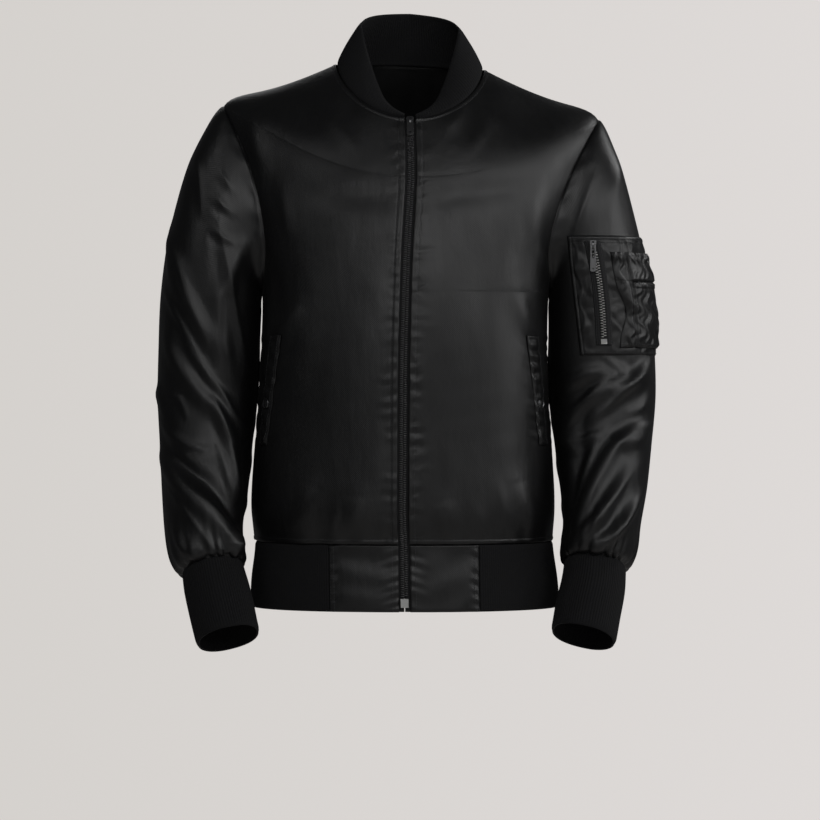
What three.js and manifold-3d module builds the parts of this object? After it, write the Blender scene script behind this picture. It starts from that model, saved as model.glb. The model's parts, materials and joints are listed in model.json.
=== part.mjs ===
// Black satin flight jacket in the form it takes when worn, hollow and open at neck, hem and cuffs.
// Millimetres, +Z up. The front faces -Y and the wearer's left side is +X.
// Origin: the middle of the neck opening, level with the two side neck points.

import * as THREE from 'three';
import Module from 'manifold-3d';

const wasm = await Module();
wasm.setup();

// Cloth and seams
const satinThickness = 1.8;
const ribThickness = 3;
const seamGap = 0.35;
const layerGap = 0.4;
const ribPitch = 6;
const ribHeight = 0.9;
const shoulderTilt = 0.037;

// Columns and rows of the cloth grids
const frontColumns = 9;
const backColumns = 14;
const chestRows = 11;
const armholeSteps = 12;
const shoulderRows = 5;
const sleeveRows = 23;

// Armhole: how far its front and back edges stand from the shoulder line, in degrees round the body
const frontArmholeCut = 27;
const backArmholeCut = 24;

// Front zip
const zipOpening = 6.5;
const zipChainHalf = 3.4;
const zipTapeInner = 3.8;
const zipTapeOuter = 15;
const zipTapeThickness = 1;
const zipChain = { thickness: 2.4, lift: -0.9, bottomRing: 0.45, topDrop: 0.47 };
const zipBox = { bottomRing: 0.14, topRing: 0.41, halfWidth: 4.6, thickness: 2.1, lift: 0.3 };
const zipTapeTopDrop = 0.15;
const sliderPlace = { ringDrop: 0.22, lift: -0.6 };

// Rings of the body from hem to neck: height at front, side and back, half width, how far the shoulder
// corner stands out from it, depth before and behind the side line, squareness, sideways shift, how
// round the ring dips, and its share of the shoulder tilt
const bodyRings = table(
  ['front', 'side', 'back', 'halfWidth', 'corner', 'frontDepth', 'backDepth', 'squareness', 'shift', 'dip', 'tilt'],
  [
    [-650, -650, -650, 186, 0, 124, 116, 2.3, -6, 2, 0],
    [-612, -612, -612, 185, 0, 124, 117, 2.3, -7, 2, 0],
    [-569, -569, -569, 176, 0, 119, 115, 2.3, -7, 2, 0],
    [-542, -542, -542, 186, 0, 132, 128, 2.3, -9, 2, 0],
    [-455, -455, -455, 179, 0, 129, 122, 2.3, -8, 2, 0],
    [-362, -362, -362, 173, 0, 128, 124, 2.3, -8, 2, 0],
    [-266, -264, -265, 171, 0, 127, 130, 2.35, -5, 2, 0],
    [-233, -222, -226, 178, 2, 125, 132, 2.35, -4, 2, 0.3],
    [-198, -168, -178, 191, 12, 122, 129, 2.35, -2, 1.9, 0.7],
    [-166, -108, -136, 200, 23, 118, 122, 2.25, 0, 1.8, 1],
    [-140, -46, -97, 201, 37, 113, 112, 2.15, 1.5, 1.6, 1],
    [-117, -37, -60, 168, 14, 107, 99, 2.05, 1, 1.5, 1],
    [-92, -19, -24, 129, 3, 97, 83, 2.05, 0.5, 1.4, 1],
    [-68, 2, 14, 88, 0, 86, 66, 2.05, 0, 1.25, 1],
  ],
);
const waistSeamRing = 2;
const underarmRing = 6;
const shoulderTipRing = 10;
const neckRing = 13;

// Rings of each sleeve from the armhole seam to the cuff seam: the outer and the inner point in the
// front view, the ring's middle from front to back, its half depth, and how far its front is raised
const sleeveColumns = ['outX', 'outZ', 'inX', 'inZ', 'midY', 'halfDepth', 'rise'];
const sleeveRings = {
  right: table(sleeveColumns, [
    [226, -48, 180, -272, 0, 56, 0],
    [239, -60, 180.5, -277, 0, 60, 6],
    [252, -84, 181, -283, 1, 64, 10],
    [267, -119, 181, -289, 2, 67, 12],
    [281, -165, 181, -298, 3, 69, 12],
    [293, -215, 181.5, -310, 4, 70, 10],
    [300, -270, 182.5, -330, 5, 70, 6],
    [303, -332, 184, -364, 6, 69, 2],
    [304, -395, 187, -407, 5, 67, 4],
    [300, -460, 192, -460, -6, 62, 12],
    [296, -515, 196, -508, -24, 58, 19],
    [291, -560, 201, -550, -42, 55, 21],
    [285, -588, 199, -576, -53, 53, 20],
    [277, -603, 197, -590, -60, 48, 17],
    [268, -609, 201, -596, -63, 38, 15],
  ]),
  left: table(sleeveColumns, [
    [229, -62, 169, -272, 0, 56, 0],
    [238, -76, 169, -277, 0, 60, 6],
    [247, -99, 169, -283, 1, 64, 10],
    [257, -131, 168.5, -289, 2, 67, 12],
    [268, -172, 168.5, -297, 3, 69, 12],
    [279, -216, 168.5, -309, 4, 70, 10],
    [288, -265, 168.5, -330, 5, 70, 6],
    [294, -327, 168.5, -364, 6, 69, 2],
    [296, -393, 170.5, -405, 5, 67, 4],
    [290, -455, 176, -456, -6, 62, 12],
    [283, -508, 181.5, -503, -24, 58, 19],
    [274, -550, 184, -545, -42, 55, 21],
    [269, -580, 180, -573, -53, 53, 20],
    [262, -597, 180, -587, -60, 48, 17],
    [254, -603, 186, -593, -63, 38, 15],
  ]),
};

// Cuffs: the same columns, from the seam to the open end
const cuffRings = {
  right: table(sleeveColumns, [
    [267.8, -609.7, 200.8, -596.7, -63.3, 38, 15],
    [263, -636, 194, -620, -73, 38, 16],
    [256, -664, 186, -648, -85, 38, 16],
    [248, -690, 179, -674, -96, 38, 16],
  ]),
  left: table(sleeveColumns, [
    [253.8, -603.7, 185.8, -593.7, -63.3, 38, 15],
    [251, -633, 182, -618, -73, 38, 16],
    [245, -662, 174, -646, -85, 38, 16],
    [239, -688, 168, -672, -96, 38, 16],
  ]),
};

// Collar: width of the rib band and its lean towards the neck, in degrees, at turns round the neck
const collarPlaces = table(
  ['turn', 'width', 'lean'],
  [
    [4, 5, 40],
    [18, 17, 50],
    [38, 33, 52],
    [62, 44, 44],
    [90, 52, 33],
    [135, 58, 20],
    [180, 60, 14],
  ],
);

// Main folds of the body, as seen from the front or the back (face 1 or -1): both ends, half width
// and height, where a height below zero is a trough
const foldColumns = ['face', 'fromX', 'fromZ', 'toX', 'toZ', 'width', 'height'];
const bodyFolds = table(foldColumns, [
  [1, -190, -62, -174, -130, 11, 4],
  [1, 148, -160, 150, -290, 11, 3],
  [1, 122, -275, 140, -325, 11, 3],
  [1, -128, -290, -150, -330, 11, 3],
  [1, 128, -500, 152, -565, 12, 3.5],
  [1, -110, -505, -140, -560, 13, 3],
  [1, 40, -520, 48, -565, 14, 3],
  [1, -62, -515, -66, -562, 14, 2.5],
  [1, 62, -60, 44, -84, 9, 2],
  [-1, -150, -210, -60, -300, 15, 4],
  [-1, 148, -222, 70, -296, 15, 4],
  [-1, -120, -470, 30, -505, 16, 4],
  [-1, 135, -455, 20, -480, 14, 3.5],
  [-1, -70, -535, -60, -567, 14, 3.5],
  [-1, 55, -530, 62, -567, 14, 3.5],
]);

// A sleeve's usual radius, which turns an angle round it into a length
const sleeveRadius = 60;

// Main folds of the sleeves: turn round the sleeve (0 outer edge, 90 front, 180 inner edge, 270 back)
// and height at both ends and at a point between, half width, and height
const sleeveFoldColumns = ['turnA', 'zA', 'turnB', 'zB', 'turnC', 'zC', 'width', 'height'];
const sleeveFolds = {
  right: table(sleeveFoldColumns, [
    [15, -200, 55, -270, 105, -345, 11, 5],
    [120, -195, 105, -280, 112, -372, 12, 5],
    [38, -330, 88, -395, 135, -450, 10, 5],
    [100, -405, 125, -450, 150, -515, 9, 4],
    [-10, -400, 22, -392, 42, -428, 8, 5],
    [18, -472, 80, -520, 160, -590, 12, 8],
    [25, -452, 95, -498, 165, -560, 9, -5],
    [45, -560, 60, -585, 70, -598, 9, 4],
    [150, -545, 150, -570, 140, -592, 9, 4],
    [200, -430, 250, -400, 320, -380, 12, 6],
    [195, -480, 250, -455, 330, -430, 12, 5],
    [190, -530, 250, -520, 330, -505, 11, 5],
    [230, -250, 265, -290, 300, -350, 13, 5],
  ]),
  left: table(sleeveFoldColumns, [
    [150, -165, 140, -200, 150, -240, 10, 4],
    [35, -368, 90, -392, 160, -440, 11, 7],
    [150, -395, 110, -372, 75, -366, 8, 5],
    [165, -452, 130, -458, 95, -440, 9, 4],
    [30, -442, 80, -455, 130, -545, 11, 6],
    [70, -490, 95, -540, 150, -588, 10, 6],
    [35, -520, 70, -556, 120, -590, 10, 5],
    [110, -400, 120, -460, 140, -520, 10, -4],
    [200, -430, 250, -400, 320, -380, 12, 6],
    [195, -485, 250, -460, 330, -436, 12, 5],
    [190, -535, 250, -520, 330, -505, 11, 5],
    [230, -250, 265, -290, 300, -350, 13, 5],
  ]),
};

// Pieces set on the body and the sleeve, by turn and height
const welt = { topTurn: 51, bottomTurn: 61, across: 10, top: -326, bottom: -456, stand: 0.9, columns: 3, rows: 8 };
const weltSnap = { across: 0.5, down: 0.62, stand: 0.3 };
const bandPanel = { width: 82, columns: 5, rows: 3 };
const sleevePocket = {
  topX: 187, bottomX: 203, fromTurn: 105, toTurn: -7.5, top: -207, bottom: -349, columns: 15, rows: 12,
};
const patchStand = 0.8;
const sleeveZip = {
  turnTop: 90.5, turnBottom: 90.5, top: -214, bottom: -337, rows: 11, sliderDrop: 5, sliderStand: 4.2,
};
const sleeveTape = { width: 15, thickness: 1, stand: 2 };
const sleeveChain = { width: 5.5, thickness: 1.6, stand: 4, fromBottom: 8, belowTop: 11.3 };
const sleeveStop = { width: 5.6, thickness: 1.8, stand: 4.6, fromBottom: 1, toBottom: 7 };
const penPocket = { fromTurn: 76, toTurn: 4, top: -262, bottom: -340, lift: 3, gusset: 8, columns: 10 };
const penTop = { fromTurn: 74, toTurn: 4, top: -229, bottom: -258, columns: 8, rows: 3 };
const snap = { radius: 6.5, topShare: 0.86, height: 2.4, segments: 20 };

// Zip pulls: the slider's plate and bridge, and the tab with the slot that passes round the bridge
const frontPull = {
  plateWidth: 9, plateLength: 12, plateDepth: 1.1, bridgeWidth: 2.4, bridgeLength: 9, bridgeRise: 4.6,
  eyeLength: 6.4, eyeBottom: 0.5, eyeTop: 3.5, axisUp: 1.2, axisOut: 2,
  bar: 1.4, tabWidth: 6.6, tabLength: 21, slotWidth: 3.4, slotEnd: 6.4, tabHole: 1.1,
};
const sleevePull = { ...frontPull, plateWidth: 8, tabWidth: 6.6, tabLength: 33 };

const colours = {
  satin: { color: 0x0b0b0d, roughness: 0.38, metalness: 0 },
  rib: { color: 0x141415, roughness: 0.95, metalness: 0 },
  zipTape: { color: 0x0c0c0d, roughness: 0.85, metalness: 0 },
  darkMetal: { color: 0x1c1c1f, roughness: 0.4, metalness: 0.8 },
  silver: { color: 0xb4b4b2, roughness: 0.3, metalness: 1 },
};

const jacket = new THREE.Group();

// Tables and smooth reading between their rows
function table(columns, rows) {
  return rows.map((row) => Object.fromEntries(columns.map((column, i) => [column, row[i]])));
}

function between(rows, column, position) {
  const last = rows.length - 1;
  const index = Math.min(Math.max(Math.floor(position), 0), last - 1);
  const part = position - index;
  const at = (i) => rows[Math.min(Math.max(i, 0), last)][column];
  const start = at(index);
  const end = at(index + 1);
  const startSlope = (end - at(index - 1)) / (index > 0 ? 2 : 1);
  const endSlope = (at(index + 2) - start) / (index + 2 <= last ? 2 : 1);
  const square = part * part;
  const cube = square * part;
  return (2 * cube - 3 * square + 1) * start + (cube - 2 * square + part) * startSlope
    + (3 * square - 2 * cube) * end + (cube - square) * endSlope;
}

// The body's rings are blended so that no ring shows as a crease
function blended(rows, column, position) {
  const last = rows.length - 1;
  const index = Math.min(Math.max(Math.floor(position), 0), last - 1);
  const part = position - index;
  const at = (i) => {
    if (i < 0) return 2 * rows[0][column] - rows[1][column];
    if (i > last) return 2 * rows[last][column] - rows[last - 1][column];
    return rows[i][column];
  };
  const square = part * part;
  const cube = square * part;
  return ((1 - part) ** 3 * at(index - 1) + (3 * cube - 6 * square + 4) * at(index)
    + (3 * part + 3 * square - 3 * cube + 1) * at(index + 1) + cube * at(index + 2)) / 6;
}

function byKey(rows, key, column, value) {
  const next = rows.findIndex((row) => row[key] >= value);
  if (next === 0) return rows[0][column];
  if (next < 0) return rows[rows.length - 1][column];
  const part = (value - rows[next - 1][key]) / (rows[next][key] - rows[next - 1][key]);
  return between(rows, column, next - 1 + part);
}

function radians(degrees) {
  return degrees * Math.PI / 180;
}

function signedPower(value, power) {
  return Math.sign(value) * Math.abs(value) ** power;
}

function steps(count, from = 0, to = 1) {
  return Array.from({ length: count + 1 }, (_, i) => from + (to - from) * i / count);
}

// Body form: turn 0 is the centre front, 90 the wearer's left side, 180 the centre back
function bodyForm(turn, ring) {
  const at = (column) => blended(bodyRings, column, ring);
  const sine = Math.sin(radians(turn));
  const cosine = Math.cos(radians(turn));
  const power = 2 / at('squareness');
  const x = at('shift') + at('halfWidth') * signedPower(sine, power) + at('corner') * signedPower(sine, 8);
  const y = -signedPower(cosine, power) * (cosine > 0 ? at('frontDepth') : at('backDepth'));
  const level = cosine > 0 ? at('front') : at('back');
  const z = at('side') + (level - at('side')) * Math.abs(cosine) ** at('dip') - shoulderTilt * at('tilt') * x;
  return new THREE.Vector3(x, y, z);
}

function surfaceNormal(form, across, along, step) {
  const sideways = form(across + step, along).sub(form(across - step, along));
  const upward = form(across, along + 0.02).sub(form(across, along - 0.02));
  return sideways.cross(upward).normalize();
}

function segmentRise(u, v, fold, fromU, fromV, toU, toV) {
  const lengthU = toU - fromU;
  const lengthV = toV - fromV;
  const length = lengthU * lengthU + lengthV * lengthV;
  const part = Math.min(Math.max(((u - fromU) * lengthU + (v - fromV) * lengthV) / length, 0), 1);
  const away = Math.hypot(u - fromU - part * lengthU, v - fromV - part * lengthV);
  return fold.height * Math.exp(-((away / fold.width) ** 2));
}

function bodyFoldRise(point) {
  return bodyFolds.reduce((rise, fold) => {
    if (fold.face * point.y > 0) return rise;
    return rise + segmentRise(point.x, point.z, fold, fold.fromX, fold.fromZ, fold.toX, fold.toZ);
  }, 0);
}

function onBody(turn, ring, lift = 0) {
  const point = bodyForm(turn, ring);
  const normal = surfaceNormal(bodyForm, turn, Math.min(Math.max(ring, 0.02), neckRing - 0.02), 0.5);
  return { point: point.clone().addScaledVector(normal, bodyFoldRise(point) + lift), normal };
}

function search(low, high, tooLow) {
  let [from, to] = [low, high];
  for (let i = 0; i < 24; i += 1) {
    const middle = (from + to) / 2;
    if (tooLow(middle)) from = middle;
    else to = middle;
  }
  return (from + to) / 2;
}

function bodyRingAt(turn, height) {
  return search(0, neckRing, (ring) => bodyForm(turn, ring).z < height);
}

function bodyTurnAt(offset, ring) {
  const middle = blended(bodyRings, 'shift', ring);
  return Math.sign(offset) * search(0, 90, (turn) => bodyForm(turn, ring).x - middle < Math.abs(offset));
}

// Armhole: the edge of the front and back panels, and the loop of points that the sleeve starts from
function armholeCut(ring) {
  if (ring <= underarmRing || ring >= shoulderTipRing) return 0;
  const part = (ring - underarmRing) / (shoulderTipRing - underarmRing);
  return Math.sqrt(1 - (1 - 2 * part) ** 2);
}

function armholeRing(turn) {
  return underarmRing + (shoulderTipRing - underarmRing) * (1 + Math.cos(radians(turn))) / 2;
}

function armholeTurn(turn) {
  const cut = Math.sin(radians(turn));
  return cut > 0 ? 90 - frontArmholeCut * cut : 90 - backArmholeCut * cut;
}

// Sleeve form: turn 0 is the outer edge, 90 the front, 180 the inner edge; ring 0 is the armhole seam
function ringPoint(rows, side, turn, ring) {
  const at = (column) => between(rows, column, ring);
  const mirror = side === 'left' ? 1 : -1;
  const sine = signedPower(Math.sin(radians(turn)), 0.92);
  const cosine = signedPower(Math.cos(radians(turn)), 0.92);
  const x = (at('outX') + at('inX')) / 2 + cosine * (at('outX') - at('inX')) / 2;
  const z = (at('outZ') + at('inZ')) / 2 + cosine * (at('outZ') - at('inZ')) / 2 + sine * at('rise');
  return new THREE.Vector3(mirror * x, at('midY') - sine * at('halfDepth'), z);
}

function underarmShare(turn) {
  return Math.max(-Math.cos(radians(turn)), 0) ** 2;
}

function sleeveForm(side, turn, ring) {
  const point = ringPoint(sleeveRings[side], side, turn, ring);
  const underarm = underarmShare(turn);
  const seamShare = Math.max(1 - ring / 3, 0) ** (1.5 + 3.5 * underarm);
  if (seamShare === 0) return point;
  const mirror = side === 'left' ? 1 : -1;
  const seam = onBody(mirror * armholeTurn(turn), armholeRing(turn)).point;
  return point.lerp(seam, seamShare);
}

function sleeveFoldRise(side, turn, point) {
  const wrapped = ((turn + 60) % 360 + 360) % 360 - 60;
  const around = radians(wrapped) * sleeveRadius;
  return sleeveFolds[side].reduce((rise, fold) => {
    const [a, b, c] = [fold.turnA, fold.turnB, fold.turnC].map((value) => radians(value) * sleeveRadius);
    const first = segmentRise(around, point.z, fold, a, fold.zA, b, fold.zB);
    const second = segmentRise(around, point.z, fold, b, fold.zB, c, fold.zC);
    return rise + (Math.abs(first) > Math.abs(second) ? first : second);
  }, 0);
}

function onSleeve(side, turn, ring, lift = 0) {
  const form = (across, along) => sleeveForm(side, across, along);
  const last = sleeveRings[side].length - 1;
  const point = form(turn, ring);
  const normal = surfaceNormal(form, turn, Math.min(Math.max(ring, 0.05), last - 0.05), 2);
  if (side === 'right') normal.negate();
  const calm = Math.min(ring / 2, 1) * Math.min((last - ring) / 1.5, 1);
  const rise = sleeveFoldRise(side, turn, point) * calm;
  return { point: point.clone().addScaledVector(normal, rise + lift), normal };
}

// Closed walls: a grid of outer points and one of inner points, joined along their rims
function wall(outer, inner, round = false) {
  const rows = outer.length;
  const columns = outer[0].length;
  const positions = [...outer.flat(), ...inner.flat()].flatMap((point) => [point.x, point.y, point.z]);
  const triangles = [];
  const quad = (a, b, c, d) => triangles.push(a, b, c, a, c, d);
  const outerAt = (row, column) => row * columns + (column % columns);
  const innerAt = (row, column) => rows * columns + outerAt(row, column);
  const end = round ? columns : columns - 1;
  const top = rows - 1;
  for (let row = 0; row < top; row += 1) {
    for (let i = 0; i < end; i += 1) {
      quad(outerAt(row, i), outerAt(row, i + 1), outerAt(row + 1, i + 1), outerAt(row + 1, i));
      quad(innerAt(row, i), innerAt(row + 1, i), innerAt(row + 1, i + 1), innerAt(row, i + 1));
    }
    if (round) continue;
    quad(outerAt(row, 0), outerAt(row + 1, 0), innerAt(row + 1, 0), innerAt(row, 0));
    quad(outerAt(row, end), innerAt(row, end), innerAt(row + 1, end), outerAt(row + 1, end));
  }
  for (let i = 0; i < end; i += 1) {
    quad(outerAt(0, i), innerAt(0, i), innerAt(0, i + 1), outerAt(0, i + 1));
    quad(outerAt(top, i), outerAt(top, i + 1), innerAt(top, i + 1), innerAt(top, i));
  }
  return facingOut(positions, triangles);
}

function facingOut(positions, triangles) {
  const point = (index) => new THREE.Vector3(...positions.slice(3 * index, 3 * index + 3));
  let volume = 0;
  for (let i = 0; i < triangles.length; i += 3) {
    volume += point(triangles[i]).dot(point(triangles[i + 1]).cross(point(triangles[i + 2])));
  }
  if (volume < 0) triangles.reverse();
  const geometry = new THREE.BufferGeometry();
  geometry.setAttribute('position', new THREE.Float32BufferAttribute(positions, 3));
  geometry.setIndex(triangles);
  return geometry;
}

function layer(rows, columns, place, thickness, lift = 0) {
  const outer = rows.map((v) => columns.map((u) => place(u, v, lift).point));
  const inner = rows.map((v) => columns.map((u) => place(u, v, lift - thickness).point));
  return wall(outer, inner);
}

function add(name, geometry, finish, parent = jacket) {
  const mesh = new THREE.Mesh(geometry, new THREE.MeshStandardMaterial(colours[finish]));
  mesh.name = name;
  parent.add(mesh);
  return mesh;
}

// Body panels: rows of rings from the waist seam to the neck seam, with the armhole's own steps
function panelRings() {
  const chest = steps(chestRows, waistSeamRing + 0.02, underarmRing).slice(0, -1);
  const armhole = steps(armholeSteps, 180, 0).map(armholeRing);
  const shoulder = steps(shoulderRows, shoulderTipRing, neckRing - 0.03).slice(1);
  return [...chest, ...armhole, ...shoulder];
}

function seamNormal(side, ring, front, own) {
  if (ring <= underarmRing || ring >= shoulderTipRing) return own;
  const part = (ring - underarmRing) / (shoulderTipRing - underarmRing);
  const turn = Math.acos(2 * part - 1) * 180 / Math.PI;
  const sleeve = onSleeve(side, front ? turn : -turn, 0.05).normal;
  const leaves = sleeveForm(side, front ? turn : -turn, 0.6).sub(sleeveForm(side, front ? turn : -turn, 0));
  return leaves.dot(own) < 0 ? own.clone().add(sleeve).normalize() : own;
}

function panelEdge(side, ring, front) {
  return 90 - (front ? frontArmholeCut : backArmholeCut) * armholeCut(ring);
}

function panelPoint(side, turn, ring, front, atEdge, thickness) {
  const mirror = side === 'left' ? 1 : -1;
  const place = onBody(mirror * turn, ring);
  const normal = atEdge ? seamNormal(side, ring, front, place.normal) : place.normal;
  return { outer: place.point, inner: place.point.clone().addScaledVector(normal, -thickness) };
}

function frontPanel(side) {
  const outer = [];
  const inner = [];
  for (const ring of panelRings()) {
    const start = bodyTurnAt(zipOpening, ring);
    const end = panelEdge(side, ring, true) - gapTurn(ring);
    const places = steps(frontColumns).map((part, i) => panelPoint(
      side, start + (end - start) * part, ring, true, i === frontColumns, satinThickness,
    ));
    outer.push(places.map((place) => place.outer));
    inner.push(places.map((place) => place.inner));
  }
  return wall(outer, inner);
}

function gapTurn(ring) {
  const reach = bodyForm(89, ring).distanceTo(bodyForm(90, ring));
  return seamGap / 2 / reach;
}

function backPanel() {
  const outer = [];
  const inner = [];
  for (const ring of panelRings()) {
    const edge = 180 - panelEdge('left', ring, false) + gapTurn(ring);
    const places = steps(backColumns, edge, 360 - edge).map((turn, i) => {
      const side = turn < 180 ? 'left' : 'right';
      const own = turn < 180 ? turn : 360 - turn;
      return panelPoint(side, own, ring, false, i === 0 || i === backColumns, satinThickness);
    });
    outer.push(places.map((place) => place.outer));
    inner.push(places.map((place) => place.inner));
  }
  return wall(outer, inner);
}

// Sleeves: the first ring stands off the armhole edge along the fold between panel and sleeve
function sleeveStart(side, turn) {
  const mirror = side === 'left' ? 1 : -1;
  const seam = onBody(mirror * armholeTurn(turn), armholeRing(turn));
  const leaves = sleeveForm(side, turn, 0.6).sub(sleeveForm(side, turn, 0)).normalize();
  const along = sleeveForm(side, turn + 4, 0).sub(sleeveForm(side, turn - 4, 0)).normalize();
  const edge = along.clone().cross(seam.normal).normalize();
  const middle = bodyForm(mirror * 90, (underarmRing + shoulderTipRing) / 2);
  if (middle.sub(seam.point).dot(edge) < 0) edge.negate();
  const fold = Math.atan2(leaves.dot(seam.normal), leaves.dot(edge)) / 2;
  const away = edge.multiplyScalar(Math.cos(fold)).addScaledVector(seam.normal, Math.sin(fold));
  const sleeve = onSleeve(side, turn, 0.3).normal;
  const convex = leaves.dot(seam.normal) < 0;
  const normal = convex ? sleeve.clone().add(seam.normal).normalize() : sleeve;
  const stand = seamGap * 1.6 + 0.8 * underarmShare(turn);
  return { point: seam.point.clone().addScaledVector(away, stand), normal };
}

function sleeveGrid(side) {
  const last = sleeveRings[side].length - 1;
  const turns = steps(2 * armholeSteps, 0, 360).slice(0, -1);
  const rings = steps(sleeveRows, 0, 1).map((part) => last * part ** 1.1);
  return rings.map((ring) => turns.map((turn) => {
    return ring === 0 ? sleeveStart(side, turn) : onSleeve(side, turn, ring);
  }));
}

function sleeve(side) {
  const places = sleeveGrid(side);
  const outer = places.map((row) => row.map((place) => place.point));
  const inner = places.map((row) => row.map((place) => (
    place.point.clone().addScaledVector(place.normal, -satinThickness)
  )));
  return wall(outer, inner, true);
}

// Ribbed pieces: raised ribs on the outer points, and a plain inside with one column for four outside
function ribbed(rows, columns, place, thickness, round = false) {
  const outer = rows.map((v) => columns.map((u, i) => place(u, v, i % 2 ? ribHeight : 0)));
  const inside = columns.filter((u, i) => i % 4 === 0);
  const inner = rows.map((v) => inside.map((u) => place(u, v, -thickness)));
  const positions = [...outer.flat(), ...inner.flat()].flatMap((point) => [point.x, point.y, point.z]);
  const triangles = [];
  const quad = (a, b, c, d) => triangles.push(a, b, c, a, c, d);
  const wide = columns.length;
  const narrow = inside.length;
  const outerAt = (row, column) => row * wide + column % wide;
  const innerAt = (row, column) => rows.length * wide + row * narrow + column % narrow;
  const top = rows.length - 1;
  const lastOuter = round ? wide : wide - 1;
  const lastInner = round ? narrow : narrow - 1;
  for (let row = 0; row < top; row += 1) {
    for (let i = 0; i < lastOuter; i += 1) {
      quad(outerAt(row, i), outerAt(row, i + 1), outerAt(row + 1, i + 1), outerAt(row + 1, i));
    }
    for (let i = 0; i < lastInner; i += 1) {
      quad(innerAt(row, i), innerAt(row + 1, i), innerAt(row + 1, i + 1), innerAt(row, i + 1));
    }
    if (round) continue;
    quad(outerAt(row, 0), outerAt(row + 1, 0), innerAt(row + 1, 0), innerAt(row, 0));
    const [outerEnd, outerNext] = [outerAt(row, lastOuter), outerAt(row + 1, lastOuter)];
    quad(outerEnd, innerAt(row, lastInner), innerAt(row + 1, lastInner), outerNext);
  }
  for (let i = 0; i < lastOuter; i += 1) {
    const near = Math.floor((i + 2) / 4);
    triangles.push(outerAt(0, i), innerAt(0, near), outerAt(0, i + 1));
    triangles.push(outerAt(top, i), outerAt(top, i + 1), innerAt(top, near));
    if (i % 4 !== 2) continue;
    triangles.push(outerAt(0, i), innerAt(0, near - 1), innerAt(0, near));
    triangles.push(outerAt(top, i), innerAt(top, near), innerAt(top, near - 1));
  }
  return facingOut(positions, triangles);
}

function cuff(side) {
  const rows = steps(2, 0, 3);
  const count = 4 * Math.round(Math.PI * 36 / ribPitch);
  const turns = steps(count, 0, 360).slice(0, -1);
  const form = (turn, ring) => ringPoint(cuffRings[side], side, turn, ring);
  return ribbed(rows, turns, (turn, ring, lift) => {
    const normal = surfaceNormal(form, turn, Math.min(Math.max(ring, 0.05), 2.95), 2);
    if (side === 'right') normal.negate();
    return form(turn, ring).addScaledVector(normal, lift);
  }, ribThickness, true);
}

function collarWidth(turn) {
  return byKey(collarPlaces, 'turn', 'width', Math.abs(turn));
}

function collarPoint(turn, part, lift) {
  const base = bodyForm(turn, neckRing);
  const wrapped = turn > 180 ? 360 - turn : turn;
  const lean = radians(byKey(collarPlaces, 'turn', 'lean', Math.abs(wrapped)));
  const inward = new THREE.Vector3(-base.x, -base.y - 8, 0).normalize();
  const rise = inward.clone().multiplyScalar(Math.sin(lean)).add(new THREE.Vector3(0, 0, Math.cos(lean)));
  const outward = inward.clone().multiplyScalar(-Math.cos(lean)).add(new THREE.Vector3(0, 0, Math.sin(lean)));
  const width = collarWidth(wrapped);
  const crown = 2.5 * Math.sin(Math.PI * part) * Math.min(width / 50, 1);
  const neckNormal = surfaceNormal(bodyForm, turn, neckRing - 0.02, 0.5);
  return base.addScaledVector(neckNormal, seamGap).addScaledVector(rise, seamGap + part * width)
    .addScaledVector(outward, crown + lift);
}

function collar() {
  const first = collarPlaces[0].turn;
  const count = 4 * Math.round(230 / ribPitch);
  const turns = steps(count, first, 360 - first);
  return ribbed(steps(2), turns, collarPoint, ribThickness);
}

// Hem band: rib all round but for two satin panels beside the zip
function bandEdge(ring) {
  return bodyTurnAt(zipOpening + bandPanel.width, ring);
}

function ribBand() {
  const rows = [0, waistSeamRing - 0.02];
  const count = 4 * Math.round(420 / ribPitch);
  return ribbed(rows, steps(count), (part, ring, lift) => {
    const edge = bandEdge(ring) + 0.2;
    return onBody(edge + (360 - 2 * edge) * part, ring, lift).point;
  }, ribThickness);
}

function bandRings() {
  return steps(bandPanel.rows, 0, waistSeamRing - 0.02);
}

function bandPanelWall(side) {
  const mirror = side === 'left' ? 1 : -1;
  return layer(bandRings(), steps(bandPanel.columns), (part, ring, lift) => {
    const from = bodyTurnAt(zipOpening, ring);
    return onBody(mirror * (from + (bandEdge(ring) - from) * part), ring, lift);
  }, satinThickness);
}

// Front zip: tapes behind the front edges and the closed chain between them
function zipRings() {
  return [...bandRings(), ...panelRings().slice(0, -1), neckRing - zipTapeTopDrop];
}

function zipTape(side) {
  const mirror = side === 'left' ? 1 : -1;
  return layer(zipRings(), steps(1), (part, ring, lift) => {
    const from = bodyTurnAt(zipTapeInner, ring);
    const to = bodyTurnAt(zipTapeOuter, ring);
    return onBody(mirror * (from + (to - from) * part), ring, lift);
  }, zipTapeThickness, -satinThickness - layerGap);
}

function zipChainBar() {
  const { bottomRing, topDrop } = zipChain;
  const topRing = neckRing - topDrop;
  const rings = [bottomRing, ...zipRings().filter((ring) => ring > bottomRing && ring < topRing - 0.1), topRing];
  return layer(rings, steps(1, -1, 1), (part, ring, lift) => {
    return onBody(bodyTurnAt(zipChainHalf, ring) * part, ring, lift);
  }, zipChain.thickness, zipChain.lift);
}

function zipBottomBox() {
  return layer([zipBox.bottomRing, zipBox.topRing], steps(2, -1, 1), (part, ring, lift) => {
    return onBody(bodyTurnAt(zipBox.halfWidth, ring) * part, ring, lift);
  }, zipBox.thickness, zipBox.lift);
}

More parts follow.
